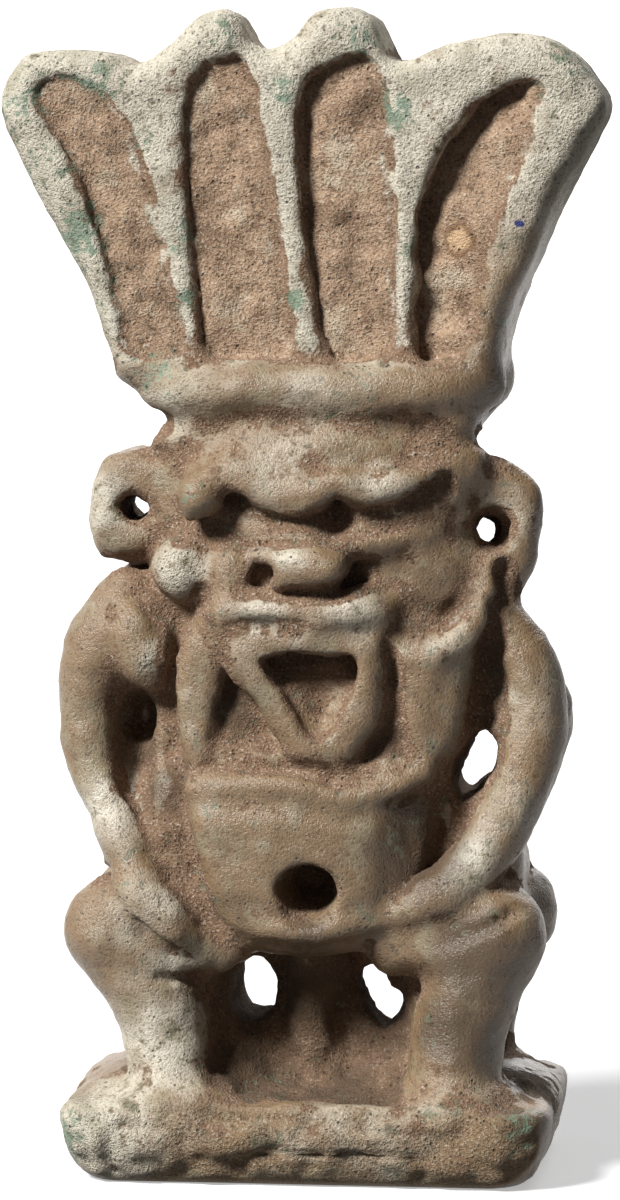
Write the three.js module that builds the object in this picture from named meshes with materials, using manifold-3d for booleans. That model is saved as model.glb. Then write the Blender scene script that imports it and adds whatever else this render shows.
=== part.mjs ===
// A small moulded faience figure of Bes, standing back to back with a second, like figure.
// Millimetres, +Z up. The front figure faces -Y, and the viewer's right is +X.
// The origin is on the underside of the base, below the middle of the figure's width.
// Plates through the middle plane y = 0 carry the front figure's forms and, behind them,
// the mirror image of the same forms for the back figure.

import * as THREE from 'three';
import { mergeVertices } from 'three/addons/utils/BufferGeometryUtils.js';
import Module from 'manifold-3d';

// The figure, from the top of the base to the tip of the tallest feather.
const FIGURE_HEIGHT = 46.6;

// The base that the figure is moulded with. It narrows towards its underside, and it sits a
// little to the right of the figure.
const BASE_HEIGHT = 3.4;
const BASE_CORNER = 1.8;
const BASE_EDGE = 0.6;
const BASE_TAPER = 0.6;
const BASE_SHIFT = 0.2;
const LEDGE_SIDE = 2.55;
const LEDGE_FRONT = 0.9;

// Plates and walls, from front to back.
const CROWN_THICKNESS_BOTTOM = 7.6;
const CROWN_THICKNESS_TOP = 6.4;
const CROWN_ROUNDING = 0.9;
const FEATHER_WALL = 2.8;
const EAR_THICKNESS = 5.6;
const TRUNK_THICKNESS = 6.6;
const WEB_THICKNESS = 1.8;

// Holes.
const EAR_HOLE_RADIUS = 0.75;
const NAVEL_RADIUS = 1.2;
const NAVEL_DEPTH = 2.3;
const NOSTRIL_RADIUS = 0.65;
const NOSTRIL_DEPTH = 0.9;
const MOUTH_DEPTH = 1.3;
const LEG_HOLE_WIDTH = 1.9;
const LEG_HOLE_HEIGHT = 2.6;

// The free forms keep their proportions. Their places and sizes below are millimetres at the
// height of MODELLED_HEIGHT, with z measured from the top of the base, and UNIT scales them.
const MODELLED_HEIGHT = 46.6;
const UNIT = FIGURE_HEIGHT / MODELLED_HEIGHT;

// How far each cutter sticks out past the surface that it cuts.
const CLEAR = 2;

// Facets round a ball, round a roll and over each of a roll's ends.
const BALL_SIDES = 9;
const ROLL_SIDES = 8;
const END_STEPS = 1;

const wasm = await Module();
wasm.setup();

// A geometry whose triangles share their vertices, as a solid that can be joined and cut.
function weldedSolid(geometry) {
  return new wasm.Manifold(new wasm.Mesh({
    numProp: 3,
    vertProperties: geometry.attributes.position.array,
    triVerts: new Uint32Array(geometry.index.array),
  }));
}

// The same for a closed three.js geometry as its class makes it.
function solid(geometry) {
  const bare = geometry.clone();
  bare.deleteAttribute('normal');
  bare.deleteAttribute('uv');
  return weldedSolid(mergeVertices(bare, 1e-4));
}

// A solid's surface as a three.js geometry.
function surface(body) {
  const mesh = body.getMesh();
  const geometry = new THREE.BufferGeometry();
  geometry.setAttribute('position', new THREE.BufferAttribute(mesh.vertProperties, 3));
  geometry.setIndex(new THREE.BufferAttribute(mesh.triVerts, 1));
  return geometry;
}

// The largest closed shell of a solid: pockets sealed in between the joined forms are filled.
function outerShell(body) {
  const geometry = surface(body);
  const index = geometry.index.array;
  const parents = Array.from({ length: geometry.attributes.position.count }, (_, i) => i);
  const shellOf = (vertex) => {
    let top = vertex;
    while (parents[top] !== top) {
      parents[top] = parents[parents[top]];
      top = parents[top];
    }
    return top;
  };
  for (let i = 0; i < index.length; i += 3) {
    parents[shellOf(index[i])] = shellOf(index[i + 1]);
    parents[shellOf(index[i + 1])] = shellOf(index[i + 2]);
  }
  const shells = new Map();
  for (let i = 0; i < index.length; i += 3) {
    const key = shellOf(index[i]);
    if (!shells.has(key)) {
      shells.set(key, []);
    }
    shells.get(key).push(index[i], index[i + 1], index[i + 2]);
  }
  geometry.setIndex([...shells.values()].reduce((a, b) => (a.length > b.length ? a : b)));
  return geometry;
}

// The mirror image of a solid through the middle plane, with its triangles turned round.
function mirrored(body) {
  const geometry = surface(body);
  geometry.scale(1, -1, 1);
  const index = geometry.index.array;
  for (let i = 0; i < index.length; i += 3) {
    const first = index[i];
    index[i] = index[i + 1];
    index[i + 1] = first;
  }
  return weldedSolid(geometry);
}

function joined(bodies) {
  return bodies.reduce((sum, body) => sum.add(body));
}

// The value at a share of the way (0 to 1) along a list of values.
function between(values, share) {
  const place = share * (values.length - 1);
  const low = Math.min(Math.floor(place), values.length - 2);
  return THREE.MathUtils.lerp(values[low], values[low + 1], place - low);
}

// An ellipsoid, turned by a tilt in degrees in the plane of the face.
function ball([x, y, z], [across, deep, high], tilt = 0, sides = BALL_SIDES) {
  const geometry = new THREE.SphereGeometry(1, sides, Math.round(sides * 0.6));
  geometry.scale(across * UNIT, deep * UNIT, high * UNIT);
  geometry.rotateY(THREE.MathUtils.degToRad(tilt));
  geometry.translate(x * UNIT, y * UNIT, z * UNIT);
  return solid(geometry);
}

// A round-ended roll of paste along a smooth path. Each station is x, y, z and the radius
// there; flat makes the roll deeper (over 1) or shallower (under 1) than it is wide.
function roll(stations, { flat = 1, steps = 4, sides = ROLL_SIDES } = {}) {
  const points = stations.map(([x, y, z]) => new THREE.Vector3(x, y, z));
  const path = new THREE.CatmullRomCurve3(points);
  const radii = stations.map((station) => station[3]);
  const geometry = new THREE.CapsuleGeometry(1, 1, END_STEPS, sides, steps);
  const position = geometry.attributes.position;
  const depthAxis = new THREE.Vector3(0, 1, 0);
  for (let i = 0; i < position.count; i += 1) {
    const reach = position.getY(i) + 0.5;
    const share = THREE.MathUtils.clamp(reach, 0, 1);
    const radius = between(radii, share);
    const heading = path.getTangent(share);
    const across = new THREE.Vector3().crossVectors(heading, depthAxis).normalize();
    const deep = new THREE.Vector3().crossVectors(across, heading);
    const point = path.getPoint(share);
    point.addScaledVector(heading, (reach - share) * radius);
    point.addScaledVector(across, position.getX(i) * radius);
    point.addScaledVector(deep, position.getZ(i) * radius * flat);
    position.setXYZ(i, point.x * UNIT, point.y * UNIT, point.z * UNIT);
  }
  return solid(geometry);
}

// A closed smooth outline through x, z points, as a flat shape.
function outline(points, perSpan = 1) {
  const corners = points.map(([x, z]) => new THREE.Vector3(x * UNIT, z * UNIT, 0));
  const loop = new THREE.CatmullRomCurve3(corners, true);
  const flat = loop.getPoints(points.length * perSpan).slice(0, -1);
  return new THREE.Shape(flat.map(({ x, y }) => new THREE.Vector2(x, y)));
}

// A shape given thickness from back to front. Both ends are drawn in by inset over a length
// of edge, in edgeSteps facets.
function slab(shape, back, front, edge, { edgeSteps = 1, inset = edge } = {}) {
  const geometry = new THREE.ExtrudeGeometry(shape, {
    depth: back - front - 2 * edge,
    bevelThickness: edge,
    bevelSize: inset,
    bevelOffset: -inset,
    bevelSegments: edgeSteps,
  });
  geometry.rotateX(Math.PI / 2);
  geometry.translate(0, back - edge, 0);
  return geometry;
}

// A hole with an oval section, from front to back.
function bore([x, z], [across, high], from, to, sides = 12) {
  const geometry = new THREE.CylinderGeometry(1, 1, from - to, sides);
  geometry.scale(across, 1, high);
  geometry.translate(x * UNIT, (from + to) / 2, z * UNIT);
  return solid(geometry);
}

// The crown: a plate that spreads upwards, with a round tip over each of its four feathers.
const CROWN_EDGE = [
  [-5.5, 28.6], [-6.2, 29.9], [-8.0, 30.8], [-9.4, 34.7], [-11.4, 38.2], [-13.0, 41.1],
  [-13.2, 43.5], [-11.6, 44.7], [-8.9, 44.8], [-7.3, 44.0], [-5.7, 45.0], [-4.5, 46.2], [-3.2, 46.1],
  [-1.9, 44.7], [-0.7, 45.1], [0.3, 46.3], [1.5, 46.6], [2.7, 45.9], [3.8, 44.2],
  [5.7, 44.8], [9.0, 45.4], [11.8, 44.4], [12.7, 42.5], [11.9, 40.9], [9.6, 36.4], [8.5, 33.0],
  [8.2, 30.6], [6.1, 28.4],
];
const CROWN_FOOT = 28.4;
const CROWN_TIP = 46.6;

// Half the crown's thickness at a height: it thins evenly towards the feather tips.
function crownHalfThickness(z) {
  const share = THREE.MathUtils.clamp((z / UNIT - CROWN_FOOT) / (CROWN_TIP - CROWN_FOOT), 0, 1);
  return THREE.MathUtils.lerp(CROWN_THICKNESS_BOTTOM, CROWN_THICKNESS_TOP, share) / 2;
}

function makeCrown() {
  const edge = (2 * CROWN_ROUNDING) / CROWN_THICKNESS_BOTTOM;
  const geometry = slab(outline(CROWN_EDGE, 2), 1, -1, edge, { inset: CROWN_ROUNDING });
  const position = geometry.attributes.position;
  for (let i = 0; i < position.count; i += 1) {
    position.setY(i, position.getY(i) * crownHalfThickness(position.getZ(i)));
  }
  return solid(geometry);
}

// The hollow in each feather's front: up its right edge, round its tip and down its left edge.
const FEATHER_HOLLOWS = [
  [[-4.6, 31.8], [-5.9, 34.2], [-6.5, 38.0], [-7.4, 41.0], [-8.9, 43.3], [-11.0, 43.7],
    [-11.8, 42.5], [-10.2, 40.4], [-8.9, 37.6], [-8.0, 34.4], [-7.1, 31.9]],
  [[0.0, 31.8], [-0.9, 34.5], [-1.5, 38.0], [-1.9, 41.5], [-2.7, 44.3], [-3.8, 45.1],
    [-5.0, 44.0], [-5.6, 41.8], [-5.3, 39.0], [-4.7, 35.6], [-3.9, 31.9]],
  [[3.4, 31.8], [3.5, 35.0], [3.6, 39.0], [3.2, 42.8], [2.0, 44.9], [0.6, 44.8],
    [-0.1, 43.0], [-0.1, 39.0], [0.3, 35.0], [0.9, 31.8]],
  [[6.6, 31.8], [7.2, 34.5], [8.3, 37.6], [10.0, 40.4], [10.3, 42.4], [9.4, 43.6],
    [7.8, 43.2], [6.2, 42.0], [5.2, 39.8], [4.8, 36.5], [4.7, 33.5], [4.9, 31.9]],
];
const HOLLOW_SLOPE = 0.35;

function makeFeatherHollows() {
  const front = -CROWN_THICKNESS_BOTTOM / 2 - CLEAR;
  return joined(FEATHER_HOLLOWS.map((points) => solid(
    slab(outline(points), -FEATHER_WALL / 2, front, HOLLOW_SLOPE),
  )));
}

// The rolls between crown and eyes: the crown's band, the forehead fold and the brow.
const FOREHEAD_ROLLS = [
  [[-7.3, -2.3, 30.9, 0.9], [-3.5, -3.5, 30.5, 1.1], [3.5, -3.5, 30.4, 1.15], [7.4, -2.4, 30.8, 0.9]],
  [[-5.3, -2.6, 28.2, 0.8], [0.4, -3.6, 28.3, 1.0], [5.9, -2.8, 28.6, 0.8]],
  [[-5.0, -3.8, 26.8, 0.9], [-3.0, -4.5, 26.5, 1.2], [0.6, -4.8, 26.5, 1.2], [3.8, -4.5, 26.5, 1.2],
    [5.8, -3.7, 27.4, 1.0]],
];

function makeForehead() {
  return joined(FOREHEAD_ROLLS.map((stations) => roll(stations, { flat: 1.1 })));
}

// The broad lion-like head behind the features, with its eye hollows.
function makeHead() {
  const skull = ball([0.3, -0.9, 24.6], [6.6, 4.4, 5.2], 0, 12);
  const jaw = ball([0.3, -1.4, 19.6], [6.6, 3.5, 4.6], 0, 10);
  const eyeHollows = [
    ball([-3.2, -5.6, 25.1], [1.5, 1.5, 0.8]),
    ball([3.4, -5.6, 24.9], [2.8, 1.6, 0.75], -7),
  ];
  return joined([skull, jaw]).subtract(joined(eyeHollows));
}

// The nose with its two drilled nostrils.
const NOSE_FRONT = -6.2;
const NOSTRILS = [[-1.75, 22.8], [2.3, 22.8]];

function makeNose() {
  const tip = ball([0.5, -5.3, 23.2], [1.85, 1.5, 1.0]);
  const wings = NOSTRILS.map(([x, z]) => ball([x, -4.9, z], [1.2, 1.3, 1.1]));
  const front = NOSE_FRONT * UNIT;
  const nostrils = NOSTRILS.map((at) => bore(
    at,
    [NOSTRIL_RADIUS, NOSTRIL_RADIUS],
    front + NOSTRIL_DEPTH,
    front - CLEAR,
    8,
  ));
  return joined([tip, ...wings]).subtract(joined(nostrils));
}

// The lip fold, and below it the open mouth with its raised three-cornered rim.
const MOUTH_RIM = [
  [-2.9, 19.7], [0.3, 20.1], [3.2, 19.9], [3.1, 17.4], [1.9, 15.0], [0.7, 14.4], [-0.6, 15.1], [-2.1, 17.4],
];
const MOUTH_HOLLOW = [[-1.8, 19.0], [0.3, 19.2], [2.4, 19.1], [1.7, 17.0], [0.7, 15.6], [-0.6, 17.0]];
const MOUTH_FRONT = -6.3;

function makeMouth() {
  const lip = roll(
    [[-3.5, -4.4, 21.0, 0.6], [-1.5, -5.1, 21.2, 0.65], [0.3, -5.4, 21.1, 0.7],
      [2.0, -5.1, 21.3, 0.65], [3.6, -4.3, 21.4, 0.6]],
    { steps: 5 },
  );
  const front = MOUTH_FRONT * UNIT;
  const rim = slab(outline(MOUTH_RIM, 2), -2 * UNIT, front, 0.5 * UNIT);
  const hollow = slab(outline(MOUTH_HOLLOW, 2), front + MOUTH_DEPTH, front - CLEAR, 0.2 * UNIT);
  return lip.add(solid(rim).subtract(solid(hollow)));
}

// The mane: a hanging lock on the left, a broad one on the right and the fold above it,
// and the knots on the cheek and shoulder of the left side.
function makeMane() {
  return joined([
    roll([[-3.7, -4.0, 20.6, 0.8], [-4.9, -4.2, 17.8, 1.2], [-5.2, -3.9, 14.6, 0.8]], { flat: 1.1 }),
    roll([[4.2, -3.7, 19.2, 0.9], [5.3, -3.8, 17.2, 1.6], [5.4, -3.5, 15.2, 1.2]], { flat: 0.9 }),
    roll([[4.4, -4.1, 19.3, 0.6], [5.9, -4.0, 20.0, 0.65], [7.2, -3.1, 21.6, 0.65]], { steps: 3 }),
    ball([-7.3, -3.2, 19.6], [1.0, 1.3, 1.7], 8),
    ball([-5.6, -3.8, 22.9], [1.25, 1.5, 1.25]),
  ]);
}

// The ears: thick round flaps, the right one with a long lobe, and a hole through each.
const EAR_FLAPS = [
  [[-5.4, 27.5], [-8.2, 27.4], [-9.3, 26.5], [-9.7, 24.9], [-9.1, 23.1], [-7.6, 22.6], [-5.4, 23.0]],
  [[5.4, 27.7], [7.9, 27.3], [9.3, 26.2], [9.6, 24.3], [8.9, 22.2], [8.0, 20.8], [5.4, 21.4]],
];
const EAR_HOLES = [[-7.65, 25.1], [7.5, 24.4]];

function makeEars() {
  const half = EAR_THICKNESS / 2;
  return joined(EAR_FLAPS.map((points) => solid(slab(outline(points, 2), half, -half, 0.8 * UNIT))));
}

// The trunk that the front forms stand out from, from the hips to the neck.
const TRUNK_EDGE = [
  [-7.4, 5.4], [-8.4, 8.6], [-7.9, 12.0], [-8.7, 15.5], [-9.0, 18.8], [-7.6, 21.3], [-6.3, 23.6],
  [-5.5, 28.4], [6.0, 28.4], [6.6, 23.8], [7.4, 21.0], [8.5, 18.4], [8.9, 14.8], [9.0, 11.4],
  [9.2, 8.6], [7.7, 5.4],
];

function makeTrunk() {
  const half = TRUNK_THICKNESS / 2;
  return solid(slab(outline(TRUNK_EDGE), half, -half, UNIT));
}

// The belly: a shield-shaped plate with a flat upper rim, and its deep round navel.
const BELLY_EDGE = [
  [-4.5, 13.7], [-2.2, 13.9], [2.0, 13.6], [4.4, 14.0], [5.0, 12.6], [4.4, 9.8],
  [3.4, 7.4], [0.4, 6.3], [-2.7, 7.3], [-4.1, 9.6], [-4.9, 12.2],
];
const BELLY_FRONT = -6.3;
const NAVEL = [0.35, 9.2];

function makeBelly() {
  const front = BELLY_FRONT * UNIT;
  const plate = solid(slab(outline(BELLY_EDGE, 2), -UNIT, front, 0.8 * UNIT));
  const navel = bore(NAVEL, [NAVEL_RADIUS, NAVEL_RADIUS], front + NAVEL_DEPTH, front - CLEAR);
  return plate.subtract(navel);
}

// The arms, bent at the elbow, and the hands flat on the thighs.
const ARMS = [
  [[-7.6, -2.2, 21.0, 1.6], [-9.3, -2.5, 19.0, 1.6], [-9.65, -2.6, 16.0, 1.4],
    [-8.65, -3.0, 12.8, 1.2], [-7.7, -4.3, 10.2, 1.15], [-7.0, -4.9, 9.0, 1.1]],
  [[7.4, -2.2, 20.2, 1.3], [8.75, -2.5, 18.4, 1.4], [9.5, -2.6, 15.6, 1.5],
    [8.8, -3.1, 13.2, 1.4], [7.3, -4.3, 10.6, 1.25], [6.2, -4.9, 9.2, 1.15]],
];
const HANDS = [
  { at: [-6.4, -5.0, 8.1], size: [2.2, 1.3, 1.25], tilt: 28 },
  { at: [5.3, -5.1, 8.2], size: [2.0, 1.3, 1.2], tilt: -24 },
];

function makeArms() {
  const arms = ARMS.map((stations) => roll(stations, { flat: 1.25, steps: 6 }));
  const hands = HANDS.map(({ at, size, tilt }) => ball(at, size, tilt));
  return joined([...arms, ...hands]);
}

// The short bent legs: thigh and knee, shin, and the foot on the base.
const FOOT_REACH = 6.6;
const FOOT_SPAN = 8.1;
const LEGS = [
  { side: -1, knee: [-7.95, -3.7, 7.5], shin: [-6.5, -3.9, 3.0] },
  { side: 1, knee: [8.1, -3.7, 7.3], shin: [6.7, -3.9, 3.0] },
];

function makeLeg({ side, knee, shin }) {
  const hip = [side * 3.6, -2.6, 8.4, 2.0];
  const thigh = roll([hip, [side * 6.2, -3.4, 8.4, 2.2], [...knee, 2.2]], { steps: 3 });
  const kneecap = ball(knee, [2.4, 2.3, 2.5]);
  const lower = roll([[...knee, 2.0], [...shin, 1.65], [side * 6.2, -4.1, 0.4, 1.75]], { steps: 3 });
  const foot = ball([side * (FOOT_SPAN - 2.1), -(FOOT_REACH - 2), 0.3], [2.1, 2, 1.1]);
  return joined([thigh, kneecap, lower, foot]);
}

// The wall between the legs, with a rough slope at its foot.
const WEB_TOP = 8.6;
const WEB_FOOT = -0.8;
const WEB_HALF_WIDTH = 5.5;

function makeWeb() {
  const high = WEB_TOP - WEB_FOOT;
  const wall = new THREE.BoxGeometry(2 * WEB_HALF_WIDTH * UNIT, WEB_THICKNESS, high * UNIT);
  wall.translate(0, 0, (WEB_FOOT + high / 2) * UNIT);
  return solid(wall).add(ball([0.2, 0, -0.2], [5.8, 4.2, 1.5]));
}

// The tail that hangs on the wall between the legs.
function makeTail() {
  return roll([[0.4, -1.4, 7.0, 1.2], [0.4, -1.4, 4.6, 0.95], [0.4, -1.0, 2.4, 0.45]]);
}

// The openings that go right through: ears, arms and the wall between the legs.
const LEG_HOLES = [[-2.6, 4.2], [2.9, 3.9]];
const ARM_GAPS = [
  [[-6.9, 13.7], [-6.6, 15.4], [-7.0, 16.8], [-7.9, 17.2], [-8.3, 15.6], [-7.8, 14.1]],
  [[6.7, 12.8], [7.6, 13.7], [7.9, 15.2], [7.2, 16.0], [6.5, 15.0], [6.0, 13.2]],
];

function makeThroughHoles() {
  const reach = (TRUNK_THICKNESS + EAR_THICKNESS) / 2 + CLEAR;
  const ears = EAR_HOLES.map((at) => bore(at, [EAR_HOLE_RADIUS, EAR_HOLE_RADIUS], reach, -reach));
  const legs = LEG_HOLES.map((at) => bore(
    at,
    [LEG_HOLE_WIDTH / 2, LEG_HOLE_HEIGHT / 2],
    WEB_THICKNESS,
    -WEB_THICKNESS,
  ));
  const arms = ARM_GAPS.map((points) => solid(slab(outline(points, 2), reach, -reach, 0.1)));
  return joined([...ears, ...legs, ...arms]);
}

// The base: a low block with round corners, wide enough for both pairs of feet, and a low
// mound on each side of it that the feet stand in.
function makeBase() {
  const right = FOOT_SPAN * UNIT + LEDGE_SIDE;
  const back = FOOT_REACH * UNIT + LEDGE_FRONT;
  const r = BASE_CORNER;
  const plan = new THREE.Shape();
  plan.moveTo(right, back - r);
  plan.absarc(right - r, back - r, r, 0, Math.PI / 2);
  plan.absarc(r - right, back - r, r, Math.PI / 2, Math.PI);
  plan.absarc(r - right, r - back, r, Math.PI, 1.5 * Math.PI);
  plan.absarc(right - r, r - back, r, 1.5 * Math.PI, 2 * Math.PI);
  const geometry = new THREE.ExtrudeGeometry(plan, {
    depth: BASE_HEIGHT - 2 * BASE_EDGE,
    curveSegments: 2,
    bevelThickness: BASE_EDGE,
    bevelSize: BASE_EDGE,
    bevelOffset: -BASE_EDGE,
    bevelSegments: 2,
  });
  geometry.translate(0, 0, BASE_EDGE);
  const position = geometry.attributes.position;
  for (let i = 0; i < position.count; i += 1) {
    const narrowed = 1 - (BASE_TAPER / right) * (1 - position.getZ(i) / BASE_HEIGHT);
    position.setX(i, position.getX(i) * narrowed + BASE_SHIFT);
  }
  const mounds = [-1, 1].map((side) => ball(
    [side * (FOOT_SPAN - 0.6) + BASE_SHIFT, 0, BASE_HEIGHT / UNIT - 0.1],
    [2.3, FOOT_REACH - 0.6, 1.1],
    0,
    10,
  ));
  return joined([solid(geometry), ...mounds]);
}

function makeFigure() {
  const core = joined([makeTrunk(), makeCrown(), makeEars(), makeWeb()]);
  const front = joined([
    makeHead(),
    makeForehead(),
    makeNose(),
    makeMouth(),
    makeMane(),
    makeBelly(),
    makeArms(),
    ...LEGS.map(makeLeg),
    makeTail(),
  ]);
  const hollows = makeFeatherHollows();
  const cuts = joined([hollows, mirrored(hollows), makeThroughHoles()]);
  const standing = outerShell(joined([core, front, mirrored(front)]).subtract(cuts));
  standing.translate(0, 0, BASE_HEIGHT);
  const whole = outerShell(weldedSolid(standing).add(makeBase()));
  whole.computeBoundingBox();
  const { min, max } = whole.boundingBox;
  whole.translate(-(min.x + max.x) / 2, 0, 0);
  return whole;
}

const faience = new THREE.MeshStandardMaterial({ color: 0xab9d82, roughness: 0.6, metalness: 0 });
const figure = new THREE.Mesh(makeFigure(), faience);
figure.name = 'bes_figure';

const part = new THREE.Group();
part.add(figure);

export default part;
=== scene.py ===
"""A small moulded faience figure of Bes with a like figure at its back: one worn, dusty piece.

The figure is a closed skin, laid where a distance to its surface is zero. The distance is worked
out for whole arrays of points, from balls, rolls, plates and bores that are run softly into
each other or cut out of each other. It is negative inside.
A grid of two parameters can't take a body with holes through it, so the skin is a net: one point
in each cell of a fine lattice that the surface crosses, and one four-sided face across each
lattice edge that it crosses.
Lengths in the shape are millimetres on a figure 50 high, with z from the top of its base. Both
figures come from the same forms, read at the depth -|y|.
"""

import bpy
import numpy as np
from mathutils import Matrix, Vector


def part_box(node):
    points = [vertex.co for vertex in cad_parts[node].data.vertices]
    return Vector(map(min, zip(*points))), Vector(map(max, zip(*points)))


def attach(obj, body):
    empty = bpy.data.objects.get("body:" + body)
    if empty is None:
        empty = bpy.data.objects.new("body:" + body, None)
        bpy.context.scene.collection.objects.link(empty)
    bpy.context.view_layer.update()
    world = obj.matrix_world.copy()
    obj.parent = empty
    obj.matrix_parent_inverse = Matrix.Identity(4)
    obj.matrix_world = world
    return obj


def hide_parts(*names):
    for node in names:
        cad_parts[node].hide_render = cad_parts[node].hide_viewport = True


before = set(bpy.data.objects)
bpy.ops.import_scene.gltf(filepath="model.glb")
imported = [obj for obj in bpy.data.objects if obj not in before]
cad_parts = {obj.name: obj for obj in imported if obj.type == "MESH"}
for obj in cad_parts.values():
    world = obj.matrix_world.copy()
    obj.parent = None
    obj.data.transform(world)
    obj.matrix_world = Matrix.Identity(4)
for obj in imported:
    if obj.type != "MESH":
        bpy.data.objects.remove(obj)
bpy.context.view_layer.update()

# The part in the row's metres, and one millimetre of the shape on it.
LOWEST, HIGHEST = (np.array(corner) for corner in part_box("bes_figure"))
MODELLED_HEIGHT = 50.0
MM = (HIGHEST[2] - LOWEST[2]) / MODELLED_HEIGHT
BASE_HEIGHT = 3.4

# The lattice of the skin: its cell, how many cells a coarse one has each way, and how many coarse
# cells from the surface still count as close.
CELL = 0.24
COARSE = 4
CLOSE = 1.6

# How far from a form its distance is worked out, and a distance farther off than anything.
REACH = 2.0
FAR_OFF = 1e3


# Soft joins and cuts


def joined(a, b, blend):
    """The lesser of two distances, with a fillet: where they differ by less than the blend, the
    least is lowered by blend * share * (1 - share), share being their place in the blend."""
    share = np.clip(0.5 + 0.5 * (b - a) / blend, 0, 1)
    return b + (a - b) * share - blend * share * (1 - share)


def cut(a, b, blend):
    """What is left of a when b is taken out: the soft greater of a and -b."""
    return -joined(-a, b, blend)


def eased(low, high, value):
    """0 below low, 1 above high, and 3 t² - 2 t³ between."""
    t = np.clip((value - low) / (high - low), 0, 1)
    return t * t * (3 - 2 * t)


# Forms


def near(points, low, high, measure):
    """A form's distance where a point is within REACH of the form's box, and REACH elsewhere."""
    inside = np.all((points > low - REACH) & (points < high + REACH), axis=1)
    distance = np.full(len(points), REACH)
    distance[inside] = np.minimum(measure(points[inside]), REACH)
    return distance


def ball(points, centre, radii, tilt=0.0):
    """Distance to an ellipsoid. With q the point in the ball's frame, turned by the tilt in
    degrees in the plane of the face, k = |q / radii| and g = |q / radii²|, it is k (k - 1) / g."""
    centre, radii = np.array(centre), np.array(radii)
    turn = np.radians(tilt)

    def measure(p):
        q = p - centre
        x = q[:, 0] * np.cos(turn) + q[:, 2] * np.sin(turn)
        z = q[:, 2] * np.cos(turn) - q[:, 0] * np.sin(turn)
        q = np.stack([x, q[:, 1], z], axis=1)
        k = np.linalg.norm(q / radii, axis=1)
        g = np.linalg.norm(q / radii**2, axis=1)
        return k * (k - 1) / np.maximum(g, 1e-6)

    size = np.full(3, radii.max())
    return near(points, centre - size, centre + size, measure)


def smooth_path(stations, closed=False, per_span=4):
    """Rows on the Catmull-Rom curve through the stations: with a, b, c, d four in a row, it is
    b + t (c - a) / 2 + t² (a - 5 b / 2 + 2 c - d / 2) + t³ (3 b - 3 c + d - a) / 2."""
    rows = np.array(stations, float)
    if closed:
        rows = np.concatenate([rows[-1:], rows, rows[:2]])
    else:
        rows = np.concatenate([2 * rows[:1] - rows[1:2], rows, 2 * rows[-1:] - rows[-2:-1]])
    a, b, c, d = rows[:-3, None], rows[1:-2, None], rows[2:-1, None], rows[3:, None]
    t = (np.arange(per_span) / per_span)[None, :, None]
    path = b + t * (c - a) / 2 + t**2 * (a - 2.5 * b + 2 * c - 0.5 * d)
    path = path + t**3 * (3 * b - 3 * c + d - a) / 2
    path = path.reshape(-1, rows.shape[1])
    return path if closed else np.concatenate([path, rows[-2:-1]])


def roll(points, stations):
    """Distance to a roll of paste along a smooth path of stations x, y, z, radius: the least over
    the path's short legs of the distance to the leg less the radius there."""
    path = smooth_path(stations)
    ends, radii = path[:, :3], path[:, 3]

    def measure(p):
        least = np.full(len(p), FAR_OFF)
        for start, end, r0, r1 in zip(ends[:-1], ends[1:], radii[:-1], radii[1:]):
            leg = end - start
            share = np.clip((p - start) @ leg / (leg @ leg), 0, 1)
            gap = np.linalg.norm(p - start - share[:, None] * leg, axis=1)
            least = np.minimum(least, gap - r0 - share * (r1 - r0))
        return least

    size = radii.max()
    return near(points, ends.min(0) - size, ends.max(0) + size, measure)


class Plan:
    """An outline in the plane of the face, x and z, with its distance kept on a fine table."""

    STEP = 0.1
    MARGIN = 1.0
    LEGS_PER_CORNER = 5

    def __init__(self, corners):
        """The distance to the outline is the least over its legs, and it is negative where a
        line to the left meets the outline an odd number of times."""
        loop = smooth_path(corners, closed=True, per_span=self.LEGS_PER_CORNER)
        self.low = loop.min(0) - REACH - self.MARGIN
        high = loop.max(0) + REACH + self.MARGIN
        x = np.arange(self.low[0], high[0] + self.STEP, self.STEP)
        z = np.arange(self.low[1], high[1] + self.STEP, self.STEP)
        spots = np.stack(np.meshgrid(x, z, indexing="ij"), axis=-1)
        least = np.full(spots.shape[:2], FAR_OFF)
        inside = np.zeros(spots.shape[:2], bool)
        for start, end in zip(loop, np.roll(loop, -1, axis=0)):
            leg = end - start
            share = np.clip((spots - start) @ leg / (leg @ leg), 0, 1)
            gap = np.linalg.norm(spots - start - share[..., None] * leg, axis=-1)
            least = np.minimum(least, gap)
            crosses = (start[1] > z) != (end[1] > z)
            rise = leg[1] if leg[1] else 1.0
            at = start[0] + (z - start[1]) * leg[0] / rise
            inside ^= crosses[None, :] & (x[:, None] > at[None, :])
        self.table = np.where(inside, -least, least)

    def distance(self, p):
        """The table's value at x and z, evenly between its four nearest entries. Past the
        table's border it is that of the border."""
        u = np.clip((p[:, [0, 2]] - self.low) / self.STEP, 0, np.array(self.table.shape) - 1.001)
        i, j = u[:, 0].astype(int), u[:, 1].astype(int)
        s, t = u[:, 0] - i, u[:, 1] - j
        table = self.table
        low = table[i, j] * (1 - s) + table[i + 1, j] * s
        high = table[i, j + 1] * (1 - s) + table[i + 1, j + 1] * s
        return low * (1 - t) + high * t


def rounded(a, b, edge):
    """The greater of two distances with its edge rounded: with a and b raised by edge, it is the
    length of their positive parts, or the greater where both are negative, less edge."""
    a, b = a + edge, b + edge
    outside = np.hypot(np.maximum(a, 0), np.maximum(b, 0))
    return outside + np.minimum(np.maximum(a, b), 0) - edge


def plate(points, plan, front, edge):
    """Distance to a plate of an outline that goes back in depth from its front, with the edge
    rounded. Front may differ from point to point."""
    return rounded(plan.distance(points), front - points[:, 1], edge)


def bore(points, x, z, radius):
    """Distance to a round hole from front to back: that to its axis less the radius."""
    return np.hypot(points[:, 0] - x, points[:, 2] - z) - radius


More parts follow.
